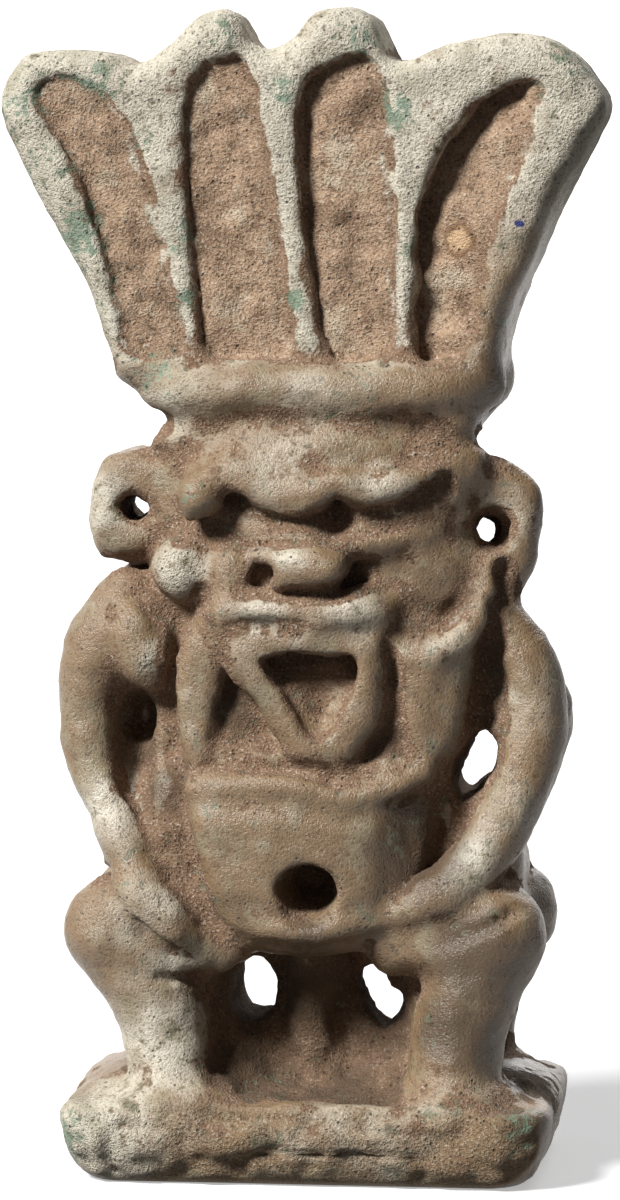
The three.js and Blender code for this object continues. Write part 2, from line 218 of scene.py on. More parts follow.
# The crown

CROWN = Plan([
    (-5.75, 27.85), (-5.5, 28.8), (-6.15, 30.05), (-7.9, 30.75), (-8.4, 32.2), (-9.35, 34.65),
    (-11.25, 38.2), (-12.65, 41.05), (-13.0, 42.7), (-12.3, 44.3), (-10.95, 44.8), (-8.75, 44.8),
    (-7.15, 44.25), (-5.6, 45.25), (-4.3, 46.3), (-3.1, 46.4), (-2.3, 45.15), (-1.5, 44.8),
    (-0.5, 45.3), (0.5, 46.4), (1.75, 46.6), (2.8, 46.2), (3.4, 45.05), (4.0, 44.35),
    (6.0, 44.95), (8.15, 45.4), (10.1, 45.4), (11.4, 44.6), (12.25, 43.7), (12.9, 42.55),
    (12.25, 40.95), (10.95, 38.55), (9.6, 35.5), (8.7, 33.0), (8.3, 30.9), (7.1, 29.7),
    (6.4, 28.35),
])

# The hollow of each feather: its outline, then heights with its left and right side there, then
# how deep it is under its left wall and at its right side.
FEATHERS = [
    (
        [(-6.1, 31.8), (-7.4, 32.0), (-7.9, 33.7), (-8.35, 35.85), (-8.95, 37.8), (-9.7, 39.7),
         (-10.6, 41.3), (-11.35, 42.3), (-11.4, 43.2), (-10.7, 43.65), (-9.4, 43.3), (-8.4, 42.7),
         (-7.6, 41.5), (-7.1, 40.3), (-6.5, 38.6), (-6.0, 36.6), (-5.5, 34.4), (-5.1, 32.3)],
        [(31, -7.5, -4.8), (37, -8.8, -6.0), (41, -10.4, -7.4), (44, -11.4, -8.6)],
        0.38, 0.22,
    ),
    (
        [(-1.0, 31.5), (-3.3, 31.5), (-4.2, 32.2), (-4.5, 34.2), (-4.8, 36.7), (-5.0, 39.2),
         (-5.1, 41.4), (-4.9, 43.0), (-4.3, 44.0), (-3.4, 44.45), (-2.65, 44.3), (-2.2, 43.3),
         (-1.95, 42.0), (-1.65, 40.5), (-1.2, 38.0), (-0.85, 35.4), (-0.5, 33.4), (-0.3, 32.2)],
        [(31, -4.2, 0.0), (37, -4.8, -1.0), (42, -5.1, -1.9), (45, -4.2, -2.5)],
        0.62, 0.36,
    ),
    (
        [(2.9, 31.5), (1.4, 31.5), (0.9, 32.4), (0.55, 34.2), (0.2, 36.7), (0.0, 39.2),
         (-0.1, 41.8), (0.0, 43.2), (0.8, 43.9), (1.9, 44.4), (2.75, 44.3), (3.3, 43.4),
         (3.6, 42.0), (3.75, 40.1), (3.9, 38.0), (4.0, 35.4), (4.05, 33.2), (3.9, 32.0)],
        [(31, 1.0, 4.1), (37, 0.3, 4.0), (42, 0.0, 3.6), (45, 0.7, 2.9)],
        0.76, 0.32,
    ),
    (
        [(6.2, 31.5), (5.1, 31.7), (4.75, 33.3), (4.85, 35.4), (4.95, 37.1), (5.3, 38.8),
         (5.8, 40.2), (6.7, 41.6), (7.9, 42.7), (9.0, 43.3), (9.7, 43.4), (10.1, 43.0),
         (9.9, 41.9), (9.35, 40.3), (8.6, 38.7), (8.0, 36.9), (7.6, 34.8), (7.25, 32.4)],
        [(31, 4.8, 7.2), (37, 4.9, 8.1), (41, 6.3, 9.7), (44, 9.0, 10.2)],
        1.28, 0.3,
    ),
]
FEATHER_PLANS = [Plan(corners) for corners, _, _, _ in FEATHERS]
CROWN_FOOT = 28.0
CROWN_TIP = 46.6
CROWN_FRONT_LOW = -3.8
CROWN_FRONT_HIGH = -3.2
CROWN_EDGE = 1.15
HOLLOW_BLEND = 0.55


def crown_front(z):
    """The depth of the crown's front: even from its foot to its tips."""
    return np.interp(z, [CROWN_FOOT, CROWN_TIP], [CROWN_FRONT_LOW, CROWN_FRONT_HIGH])


def crown(p):
    """The spreading plate, with each feather's hollow: deep under its left wall, and rising
    evenly from there to its right side."""
    front = crown_front(p[:, 2])
    body = plate(p, CROWN, front, CROWN_EDGE)
    for plan, (_, sides, wall, far) in zip(FEATHER_PLANS, FEATHERS):
        high, left, right = np.array(sides, float).T
        left, right = np.interp(p[:, 2], high, left), np.interp(p[:, 2], high, right)
        share = np.clip((p[:, 0] - left) / (right - left), 0, 1)
        floor = front + wall + (far - wall) * share
        body = cut(body, np.maximum(plan.distance(p), p[:, 1] - floor), HOLLOW_BLEND)
    return body


# The trunk, ears and the wall between the legs

TRUNK = Plan([
    (-7.2, 7.0), (-8.2, 9.0), (-7.6, 12.0), (-8.3, 15.5), (-8.5, 18.8), (-7.2, 21.3), (-6.1, 23.6),
    (-5.3, 29.6), (6.2, 29.6), (6.7, 23.8), (7.6, 21.0), (8.7, 18.4), (9.1, 14.8), (9.2, 11.4),
    (9.4, 9.0), (7.9, 7.0),
])
EARS = [
    Plan([(-5.2, 27.3), (-6.4, 27.6), (-7.9, 27.6), (-8.8, 27.2), (-9.35, 25.9), (-9.4, 24.4),
          (-8.9, 23.2), (-7.3, 22.85), (-5.2, 23.0)]),
    Plan([(5.6, 27.6), (7.1, 27.7), (8.6, 27.4), (9.95, 26.5), (10.35, 25.2), (10.1, 23.3),
          (9.4, 21.7), (8.6, 20.8), (5.6, 21.4)]),
]
ARM_GAP = Plan([(7.1, 12.9), (8.0, 13.8), (8.3, 15.0), (7.9, 15.7), (7.3, 15.5), (6.8, 14.6),
                (6.45, 13.3)])
LEG_HOLES = [
    Plan([(-2.65, 5.4), (-3.05, 4.8), (-3.15, 3.9), (-2.9, 3.25), (-2.25, 3.1), (-1.65, 3.45),
          (-1.5, 4.2), (-1.7, 4.95), (-2.15, 5.45)]),
    Plan([(2.65, 5.1), (3.2, 5.0), (3.55, 4.5), (3.95, 3.95), (3.9, 3.3), (3.45, 2.7),
          (2.95, 3.0), (2.5, 3.85), (2.35, 4.7)]),
]

TRUNK_FRONT = -3.3
TRUNK_EDGE = 1.2
EAR_FRONT = -2.85
EAR_EDGE = 1.0
PLATES_BLEND = 0.8

# The wall between the legs. Its front bends forward to the sides, as far as the trunk's front.
WALL_MIDDLE = 0.2
WALL_HALF_WIDTH = 6.2
WALL_TOP = 8.6
WALL_FOOT = -1.5
WALL_FRONT = -0.8
WALL_BEND = 0.13

# The bank at the wall's foot, which slopes down to the front and is higher at its sides.
BANK_FRONT = -5.4
BANK_DEPTH = 4.6
BANK_HEIGHT = 2.6
BANK_SIDES = 0.09


def bank(p, across):
    """The bank, given how far each point is outside the wall's width. Its height is BANK_HEIGHT
    times the power 2.4 of the share of the way back, less 0.2, and towards the sides it is higher
    by BANK_SIDES times the squared distance from the middle."""
    rise = BANK_HEIGHT * np.clip((p[:, 1] - BANK_FRONT) / BANK_DEPTH, 0, 1) ** 2.4 - 0.2
    rise += BANK_SIDES * (p[:, 0] - 0.5) ** 2 * np.clip((p[:, 1] + 5.8) / 3, 0, 1)
    slope_side = np.maximum(0.8 * (p[:, 2] - rise), across - 0.2)
    slope_front = np.maximum(slope_side, BANK_FRONT - 1 - p[:, 1])
    return np.maximum(slope_front, WALL_FOOT - p[:, 2])


def core(p):
    """The plates through the middle, the wall between the legs and the bank at its foot."""
    body = joined(plate(p, TRUNK, TRUNK_FRONT, TRUNK_EDGE), crown(p), PLATES_BLEND)
    for ear in EARS:
        body = joined(body, plate(p, ear, EAR_FRONT, EAR_EDGE), PLATES_BLEND)
    across = np.abs(p[:, 0] - WALL_MIDDLE) - WALL_HALF_WIDTH
    up = np.maximum(p[:, 2] - WALL_TOP, WALL_FOOT - p[:, 2])
    front = np.maximum(WALL_FRONT - WALL_BEND * (p[:, 0] - 0.4) ** 2, TRUNK_FRONT)
    wall = np.maximum(np.maximum(across, up), front - p[:, 1])
    return joined(joined(body, wall, PLATES_BLEND), bank(p, across), 0.5)


# The forms of one figure's front: what each is, its sizes, and how softly it joins. A roll's
# stations are x, y, z and radius, and a ball's are its centre, its radii and its tilt.

HEAD = [
    ("ball", ((0.5, -0.9, 24.6), (6.4, 4.0, 5.0)), 1.0),
    ("ball", ((0.5, -1.0, 19.6), (6.4, 2.9, 4.6)), 1.0),
    ("ball", ((0.6, -2.2, 27.0), (6.2, 2.9, 2.7)), 0.9),
    ("ball", ((6.2, 0.0, 29.5), (1.4, 3.0, 1.4)), 0.7),
    ("roll", [(7.5, -2.3, 30.6, 0.8), (6.8, -2.6, 29.7, 0.85), (6.0, -2.8, 28.6, 0.85)], 0.8),
    ("ball", ((0.3, -2.9, 21.9), (4.1, 2.0, 3.1)), 0.8),
    ("roll", [(-6.2, -2.8, 30.3, 0.8), (-4.35, -3.5, 30.3, 1.0), (0.4, -3.8, 30.3, 1.05),
              (5.1, -3.6, 30.3, 1.0), (7.6, -2.6, 30.5, 0.85)], 0.8),
    ("roll", [(-4.3, -4.1, 26.4, 0.6), (-2.9, -4.5, 26.85, 0.6), (-1.3, -4.8, 26.0, 0.6),
              (0.2, -4.9, 25.75, 0.65), (1.7, -4.9, 26.5, 0.5), (3.1, -4.8, 26.05, 0.6),
              (4.4, -4.5, 26.4, 0.6), (5.75, -3.9, 27.0, 0.6), (7.2, -2.9, 27.4, 0.6)], 0.9),
    ("roll", [(-0.5, -4.5, 24.1, 0.4), (2.0, -4.55, 23.95, 0.45), (3.9, -4.25, 24.0, 0.45),
              (5.4, -3.7, 24.45, 0.45), (6.9, -2.9, 25.1, 0.4)], 0.8),
    ("roll", [(3.2, -3.95, 25.1, 0.45), (4.6, -3.85, 25.35, 0.5), (6.0, -3.45, 25.9, 0.55),
              (7.0, -2.9, 26.7, 0.55)], 0.8),
    ("ball", ((5.4, -2.8, 22.3), (2.3, 1.3, 2.0)), 1.1),
    ("ball", ((-4.1, -3.5, 22.8), (1.3, 1.0, 1.6)), 0.9),
    ("ball", ((-5.1, -3.75, 22.95), (1.35, 1.3, 1.2), 20), 0.6),
    ("ball", ((-4.95, -3.95, 22.1), (1.05, 0.95, 0.8)), 0.7),
]
EYES = Plan([
    (-4.5, 25.2), (-4.0, 25.6), (-3.25, 26.1), (-2.45, 25.95), (-1.8, 25.35), (-0.95, 25.1),
    (0.1, 25.05), (0.95, 25.25), (1.55, 25.8), (2.25, 25.45), (3.15, 25.35), (4.25, 25.75),
    (5.2, 26.25), (6.3, 26.9), (6.5, 26.3), (5.9, 25.45), (4.55, 24.65), (3.1, 24.3),
    (1.8, 24.0), (1.05, 24.2), (0.1, 24.5), (-0.95, 24.45), (-2.05, 24.3), (-3.0, 24.0),
    (-3.95, 23.95), (-4.5, 24.45),
])
# Across the face: x, the top and foot of the hollow round the eyes, its depth under the brow, and
# the face's own front.
EYE_ROWS = np.array([
    (-4.6, 25.2, 24.1, -3.9, -4.0), (-3.2, 26.1, 24.0, -3.7, -4.6), (-1.8, 25.4, 24.3, -4.45, -4.9),
    (0.3, 25.1, 24.5, -4.75, -5.05), (1.5, 25.8, 24.0, -2.9, -4.7), (2.4, 25.5, 24.1, -4.45, -4.9),
    (4.4, 25.8, 24.6, -4.3, -4.6), (6.4, 26.9, 26.2, -3.85, -3.95),
]).T
NOSE = Plan([
    (-2.4, 22.9), (-2.2, 23.35), (-1.5, 23.65), (0.15, 23.75), (1.6, 23.65), (2.1, 23.25),
    (1.75, 22.5), (0.75, 22.05), (-0.4, 22.0), (-1.1, 22.0), (-1.8, 21.9), (-2.4, 22.2),
])
LEFT_NOSTRIL = Plan([(-2.15, 22.65), (-1.9, 23.1), (-1.3, 23.15), (-0.9, 22.75), (-1.0, 22.2),
                     (-1.6, 21.95), (-2.05, 22.15)])
RIGHT_NOSTRIL = Plan([(2.4, 23.2), (3.4, 23.2), (3.3, 22.75), (2.8, 22.15), (2.05, 21.85),
                      (1.65, 22.0), (2.0, 22.55)])
MUZZLE = Plan([
    (-3.6, 22.4), (-3.4, 23.1), (-2.7, 23.0), (-2.3, 21.9), (0.1, 21.6), (2.25, 21.8),
    (3.7, 21.7), (4.4, 21.3), (4.2, 19.9), (3.15, 19.2), (0.1, 19.2), (-2.9, 19.2),
    (-3.6, 19.8), (-3.7, 21.3),
])
FACE_FORMS = [
    ("ball", ((-4.15, -4.6, 25.9), (0.95, 1.0, 0.8), -30), 0.4),
    ("ball", ((-4.4, -4.9, 25.6), (0.6, 0.65, 0.6)), 0.4),
    ("roll", [(-4.2, -4.7, 26.05, 0.6), (-3.4, -4.8, 26.5, 0.55), (-2.4, -4.8, 26.6, 0.45)], 0.5),
    ("ball", ((-2.9, -4.5, 22.5), (0.9, 0.7, 1.0)), 0.8),
    ("roll", [(-3.5, -4.6, 20.4, 0.5), (-2.8, -5.05, 20.85, 0.6), (-1.1, -5.2, 20.8, 0.6),
              (0.55, -5.25, 20.8, 0.6), (2.25, -5.15, 20.95, 0.6), (3.6, -4.7, 21.0, 0.5)], 1.0),
]
FACE_CUTS = [
    ("roll", [(0.9, -5.45, 27.45, 0.25), (3.9, -5.15, 27.55, 0.3), (6.2, -4.4, 27.8, 0.3)], 0.7),
    ("roll", [(-2.7, -5.7, 20.35, 0.25), (-1.5, -5.85, 20.35, 0.33), (0.3, -5.95, 20.45, 0.15)], 0.5),
    ("roll", [(4.0, -5.2, 22.1, 0.3), (4.5, -5.0, 21.0, 0.45), (4.95, -4.8, 20.1, 0.5)], 0.9),
]
MANE = [
    ("ball", ((5.0, -3.3, 19.6), (1.5, 1.3, 1.2)), 0.8),
    ("roll", [(4.8, -4.2, 19.1, 0.45), (6.4, -4.3, 19.5, 0.6), (7.35, -4.0, 20.4, 0.62),
              (7.9, -3.4, 21.7, 0.58), (8.1, -2.8, 23.0, 0.5)], 0.7),
    ("ball", ((-7.0, -3.3, 19.5), (1.35, 1.35, 1.9), 10), 0.8),
    ("ball", ((-6.7, -3.9, 18.6), (0.75, 0.75, 1.2), 20), 0.7),
    ("ball", ((-2.4, -3.4, 15.5), (1.6, 0.85, 2.2)), 0.8),
    ("ball", ((4.0, -3.4, 16.2), (1.3, 1.0, 2.0)), 0.8),
    ("roll", [(-4.0, -3.8, 14.5, 0.8), (-1.5, -4.1, 14.5, 0.85), (0.5, -4.2, 14.2, 0.8),
              (2.5, -4.3, 13.8, 0.9), (5.0, -3.9, 14.5, 0.9)], 0.9),
]
LEFT_LOCK = Plan([
    (-4.3, 21.9), (-3.1, 21.7), (-2.7, 20.4), (-2.95, 19.2), (-3.4, 17.6), (-3.65, 15.6),
    (-3.95, 14.0), (-4.5, 13.8), (-4.95, 14.6), (-5.25, 16.3), (-5.35, 17.9), (-4.95, 19.7),
    (-4.5, 21.0),
])
RIGHT_LOCK = Plan([(3.9, 19.8), (4.2, 19.15), (4.2, 17.25), (4.75, 15.45), (6.05, 14.7),
                   (6.95, 15.6), (7.35, 17.25), (7.6, 19.35), (7.6, 20.5), (6.4, 19.9),
                   (5.05, 19.4)])
RIM = Plan([
    (-3.0, 20.0), (-1.45, 20.2), (0.15, 20.25), (2.1, 20.2), (3.3, 20.05), (3.7, 19.3),
    (3.75, 17.75), (3.35, 16.0), (2.45, 14.6), (1.25, 14.0), (0.0, 14.4), (-0.75, 15.4),
    (-1.55, 16.6), (-2.4, 17.85), (-3.15, 18.9),
])
MOUTH = Plan([(-1.5, 19.05), (0.15, 19.2), (2.15, 19.15), (2.5, 18.6), (2.35, 17.7), (1.95, 16.65),
              (1.4, 15.8), (0.7, 15.6), (0.1, 16.3), (-0.5, 17.4), (-1.15, 18.35)])
BELLY = Plan([
    (-4.6, 13.7), (-2.35, 13.95), (0.2, 13.9), (2.1, 13.4), (4.35, 13.7), (5.7, 14.2),
    (5.9, 12.9), (5.5, 10.55), (4.4, 7.9), (1.0, 6.9), (-1.95, 7.1), (-3.65, 8.6),
    (-4.45, 10.85),
])
BODY = [
    ("roll", [(-5.5, -3.2, 13.2, 1.1), (-5.5, -3.5, 10.9, 1.2), (-4.6, -3.9, 8.6, 0.9)], 0.8),
    ("roll", [(-4.4, -5.1, 13.4, 0.4), (-2.15, -5.5, 13.6, 0.42), (0.2, -5.6, 13.55, 0.42),
              (2.1, -5.5, 13.1, 0.42), (4.0, -5.1, 13.5, 0.42), (5.3, -4.4, 14.2, 0.4)], 0.7),
    ("roll", [(-3.0, -4.9, 8.2, 0.45), (-1.8, -5.3, 7.65, 0.5), (0.0, -5.6, 7.45, 0.5),
              (1.7, -5.5, 7.6, 0.5), (3.4, -5.0, 7.9, 0.55), (5.2, -4.7, 8.4, 0.6)], 0.6),
    ("roll", [(-2.6, -4.1, 7.2, 0.7), (0.3, -4.4, 6.95, 0.8), (3.2, -4.1, 7.2, 0.7)], 0.8),
    ("roll", [(-7.75, -2.2, 21.0, 1.5), (-8.9, -2.5, 19.05, 1.6), (-9.3, -2.6, 16.6, 1.3),
              (-9.2, -2.9, 14.6, 1.15), (-8.3, -3.5, 12.5, 1.1), (-7.5, -4.1, 10.8, 1.05),
              (-6.8, -4.5, 9.5, 1.05)], 0.6),
    ("roll", [(8.2, -2.2, 20.4, 1.3), (9.5, -2.4, 18.7, 1.3), (9.95, -2.6, 16.05, 1.4),
              (9.2, -3.2, 13.3, 1.35), (7.9, -4.1, 10.6, 1.25), (6.4, -4.6, 8.9, 1.1)], 0.6),
    ("ball", ((-6.1, -4.95, 8.15), (2.35, 1.3, 1.25), -43), 0.35),
    ("ball", ((-5.6, -5.55, 7.7), (1.2, 0.75, 0.6), -43), 0.3),
    ("ball", ((-6.8, -5.4, 8.7), (0.85, 0.7, 0.5), -50), 0.3),
    ("ball", ((5.6, -4.6, 8.6), (2.1, 1.1, 0.95), 25), 0.5),
    ("roll", [(-5.6, -3.9, 10.6, 0.5), (-4.6, -4.1, 8.9, 0.6), (-3.9, -4.2, 7.4, 0.6)], 0.6),
    ("roll", [(-3.3, -3.7, 6.4, 1.2), (-5.3, -4.0, 6.5, 1.5), (-8.0, -3.7, 7.2, 2.1)], 0.6),
    ("roll", [(4.1, -3.7, 6.7, 1.3), (6.4, -4.0, 6.8, 1.55), (8.25, -3.7, 7.2, 2.1)], 0.7),
    ("roll", [(-8.05, -3.7, 7.0, 2.0), (-6.4, -3.8, 4.4, 2.0), (-5.7, -4.0, 1.8, 1.85),
              (-5.5, -4.3, 0.2, 1.8)], 0.7),
    ("roll", [(8.35, -3.7, 7.0, 2.1), (7.2, -3.8, 4.4, 2.05), (6.7, -4.0, 2.2, 2.0),
              (6.6, -4.3, 0.3, 2.0)], 0.7),
    ("ball", ((-4.9, -4.9, 0.0), (2.4, 1.9, 1.05)), 0.7),
    ("ball", ((6.7, -4.8, 0.1), (2.3, 1.9, 1.05)), 0.7),
    ("roll", [(0.6, -1.8, 6.5, 1.2), (0.4, -1.1, 4.0, 1.15), (0.4, -1.6, 1.6, 0.8)], 0.9),
]
BODY_CUTS = [
    ("ball", ((0.5, -6.1, 9.15), (1.3, 3.8, 1.15)), 0.35),
    ("ball", ((0.5, -6.6, 8.2), (1.05, 1.2, 0.65)), 0.45),
    ("roll", [(-7.3, -5.8, 7.9, 0.15), (-6.3, -5.95, 7.15, 0.24), (-5.4, -5.85, 6.55, 0.24),
              (-4.6, -5.45, 6.2, 0.15)], 0.25),
    ("roll", [(-5.9, -5.6, 5.3, 0.2), (-5.3, -5.2, 5.25, 0.3), (-4.7, -4.85, 5.2, 0.36),
              (-3.9, -4.2, 5.15, 0.4), (-3.0, -3.5, 5.15, 0.4)], 0.25),
    ("roll", [(4.2, -5.25, 6.5, 0.08), (6.1, -5.7, 6.9, 0.12), (8.2, -5.8, 7.75, 0.14),
              (9.8, -5.0, 8.6, 0.1)], 0.45),
    ("roll", [(8.2, -3.75, 21.2, 0.3), (8.05, -3.35, 19.6, 0.5), (7.8, -3.1, 18.0, 0.6),
              (7.5, -3.05, 16.2, 0.6)], 0.5),
    ("ball", ((-7.2, -3.6, 16.1), (0.95, 2.8, 1.4)), 0.35),
    ("ball", ((-7.3, -3.9, 14.4), (0.8, 1.7, 1.5)), 0.45),
    ("ball", ((8.6, -3.1, 22.2), (0.42, 0.5, 0.85)), 0.5),
]


# How far forward the plates of the face and belly stand before they bulge or turn, and how deep
# the floors cut into them lie. The mouth's floor is given as two heights and the depths there.
MUZZLE_FRONT = -5.4
NOSE_FRONT = -6.05
NOSE_TIP = ((1.0, -5.2, 22.8), (1.3, 1.0, 0.8))
LEFT_NOSTRIL_FLOOR = -4.5
RIGHT_NOSTRIL_FLOOR = -3.5
LEFT_LOCK_FRONT = -5.0
RIGHT_LOCK_FRONT = -4.95
RIM_FRONT = -5.6
MOUTH_FLOOR = ([15.5, 19.3], [-4.7, -3.7])
BELLY_FRONT = -5.7

# Ear holes: x, z and radius. They widen to the front past a depth, by a share of the way.
EAR_HOLES = ((-7.4, 25.2, 0.55), (8.2, 24.45, 0.6))
EAR_HOLE_FLARE = 0.15
EAR_HOLE_DEPTH = 1.2
HOLES_WIDER = 0.12
HOLES_BLEND = 0.45


def modelled(p, body, forms, how=joined):
    """The body with each form in turn joined to it or cut out of it."""
    for kind, sizes, blend in forms:
        form = ball(p, *sizes) if kind == "ball" else roll(p, sizes)
        body = how(body, form, blend)
    return body


BASE_PITS = [
    ("ball", ((-1.0, -7.7, -1.9), (0.9, 0.6, 0.35), 20), 0.35),
    ("ball", ((2.6, -7.7, -2.4), (0.7, 0.6, 0.35), -25), 0.35),
    ("ball", ((4.6, -7.6, -2.5), (0.9, 0.5, 0.3), 8), 0.35),
    ("ball", ((-4.0, -7.7, -2.3), (0.7, 0.5, 0.4), 30), 0.4),
    ("ball", ((7.6, -7.7, -2.0), (0.8, 0.5, 0.3), -20), 0.4),
    ("ball", ((0.4, -7.9, -0.9), (0.7, 0.6, 0.25), 10), 0.4),
    ("ball", ((-2.6, -8.0, -0.4), (0.9, 0.7, 0.4), 20), 0.5),
    ("roll", [(-6.0, -8.3, 0.3, 0.7), (-3.0, -8.05, 0.4, 1.1), (0.6, -8.05, 0.45, 1.25),
              (4.2, -8.05, 0.4, 1.15), (8.0, -8.2, 0.3, 0.8)], 0.8),
]

BASE_MIDDLE = 0.35
BASE_HALF_WIDTH = 10.65
BASE_HALF_DEPTH = 7.45
BASE_CORNER = 2.0
BASE_EDGE = 0.8
BASE_UNDERCUT = 0.4
MOUND_REACH = 7.6
MOUND_RADII = (2.5, 6.2, 1.2)

# The ledge: how far below the top it is, its step, and its waves, each with its height, how often
# it comes and where it starts.
LEDGE_DROP = 2.0
LEDGE_STEP = 0.07
LEDGE_WAVES = ((0.22, 1.3, 1.0), (0.14, 3.1, 2.0), (0.08, 7.3, 0.5))


def base(p):
    """A block with round corners and soft edges, and a low mound on each side of it that the feet
    stand in. Its front edge is worn between the feet, it steps back a little below an uneven
    ledge, and its foot is undercut."""
    share = np.clip(-p[:, 2] / BASE_HEIGHT, 0, 1)
    waves = [high * np.sin(often * p[:, 0] + start) for high, often, start in LEDGE_WAVES]
    ledge = LEDGE_DROP + sum(waves)
    step = LEDGE_STEP * eased(0, 0.5, -p[:, 2] - ledge) * eased(-7, -3, p[:, 0])
    under = BASE_UNDERCUT * eased(0.5, 1.0, share)
    across = np.abs(p[:, 0] - BASE_MIDDLE) - BASE_HALF_WIDTH + 0.5 * share + under
    deep = np.abs(p[:, 1]) - BASE_HALF_DEPTH + 0.15 * share + under + step
    up = np.maximum(p[:, 2], -BASE_HEIGHT - p[:, 2])
    block = rounded(rounded(across, deep, BASE_CORNER), up, BASE_EDGE)
    for side in (-1, 1):
        mound = ball(p, (BASE_MIDDLE + MOUND_REACH * side, 0, -0.2), MOUND_RADII)
        block = joined(block, mound, 0.8)
    return modelled(p, block, BASE_PITS, cut)


def face(p, body):
    """The face's hollows and plates, from the brow down to the mouth."""
    x, y, z = p.T
    top, foot, deep, front = (np.interp(x, EYE_ROWS[0], row) for row in EYE_ROWS[1:])
    share = np.clip((top - z) / (top - foot), 0, 1)
    body = cut(body, np.maximum(EYES.distance(p), y - deep - (front - deep) * share), 0.3)
    muzzle_front = MUZZLE_FRONT + 0.07 * np.abs(x) ** 1.3
    body = joined(body, plate(p, MUZZLE, muzzle_front, 0.7), 0.6)
    body = modelled(p, body, FACE_FORMS)
    bulge = 0.12 * (x - 0.4) ** 2 + 0.12 * np.maximum(23.2 - z, 0)
    body = joined(body, plate(p, NOSE, NOSE_FRONT + bulge, 0.6), 0.3)
    body = joined(body, ball(p, *NOSE_TIP), 0.4)
    body = modelled(p, body, FACE_CUTS, cut)
    body = cut(body, np.maximum(LEFT_NOSTRIL.distance(p), y - LEFT_NOSTRIL_FLOOR), 0.35)
    right_floor = RIGHT_NOSTRIL_FLOOR - 0.7 * (x - 1.9)
    return cut(body, np.maximum(RIGHT_NOSTRIL.distance(p), y - right_floor), 0.3)


def mouth(p, body):
    """The locks at its sides, and the pouting three-sided rim. Its hollow is deepest under the
    upper lip and rises towards the chin and, below the lip, towards its sides."""
    x, y, z = p.T
    left_front = LEFT_LOCK_FRONT + 0.5 * np.maximum(z - 19.5, 0)
    right_front = RIGHT_LOCK_FRONT + 0.13 * (x - 4.7) ** 2
    body = joined(body, plate(p, LEFT_LOCK, left_front, 0.7), 0.6)
    body = joined(body, plate(p, RIGHT_LOCK, right_front, 0.7), 0.6)
    body = joined(body, plate(p, RIM, RIM_FRONT, 0.9), 0.6)
    edge = MOUTH.distance(p)
    floor = np.interp(z, *MOUTH_FLOOR)
    floor = floor - 0.5 * np.clip(1 + edge / 0.8, 0, 1) * eased(19.0, 17.6, z)
    return cut(body, np.maximum(edge, y - floor), 0.35)


def belly(p):
    """The belly's plate: bulging, its right side turned away and its foot drawn in."""
    x, _, z = p.T
    turned = 0.4 * (x - 3.2 + np.hypot(x - 3.2, 1.3))
    front = BELLY_FRONT - 0.5 * eased(0, 2.5, 14 - z) + 0.85 * eased(0, 2.6, 9.2 - z)
    front = front + turned + 0.03 * np.maximum(-1 - x, 0) ** 2
    return plate(p, BELLY, front, 0.9)


def figure(p):
    """Both figures and their base, from the forms of one figure's front."""
    body = modelled(p, core(p), HEAD)
    body = face(p, body)
    body = modelled(p, body, MANE)
    body = mouth(p, body)
    body = joined(body, belly(p), 0.6)
    body = modelled(p, body, BODY)
    body = modelled(p, body, BODY_CUTS, cut)
    for hole in [*LEG_HOLES, ARM_GAP]:
        body = cut(body, hole.distance(p) - HOLES_WIDER, HOLES_BLEND)
    for x, z, radius in EAR_HOLES:
        wider = EAR_HOLE_FLARE * np.clip(-p[:, 1] - EAR_HOLE_DEPTH, 0, 2)
        body = cut(body, bore(p, x, z, radius + wider), HOLES_BLEND)
    return joined(body, base(p), 0.7)


# The back figure's left shoulder and ear, on the right here, stand in and down by so much.
STAND_IN = 0.8
STAND_DOWN = 0.35


def folded(p):
    """The points with their depth made -|y|, rounded off over the middle as the root of y² and
    0.04. At the shoulder that stands in, STAND_IN is added to x and STAND_DOWN to z, half of
    each at the middle of the depth."""
    x, y, z = p.T
    share = 0.5 * (eased(-2.4, -0.8, y) + eased(0.2, 1.2, y))
    share = share * eased(3, 6, x) * eased(16, 19, z) * eased(29.5, 27.5, z)
    return np.stack([x + STAND_IN * share, -np.sqrt(y**2 + 0.04), z + STAND_DOWN * share], axis=1)


POINTS_AT_A_TIME = 200000


def in_parts(measure, p):
    """A measure worked out for some of the points at a time, to keep its arrays small."""
    starts = range(0, len(p), POINTS_AT_A_TIME)
    return np.concatenate([measure(p[i:i + POINTS_AT_A_TIME]) for i in starts])


def shape(p):
    """The distance to the bare shape of the whole piece."""
    return in_parts(lambda q: figure(folded(q)), p)


# The skin

# The lowest and highest corner of the room that the lattice fills.
LOW = np.array([-14.0, -8.2, -BASE_HEIGHT - 0.6])
HIGH = np.array([14.0, 8.2, 47.4])


def lattice(step):
    """The points of a lattice over the figure's room, as an array of its three counts and 3."""
    axes = [np.arange(a, b + step / 2, step) for a, b in zip(LOW, HIGH)]
    return np.stack(np.meshgrid(*axes, indexing="ij"), axis=-1)


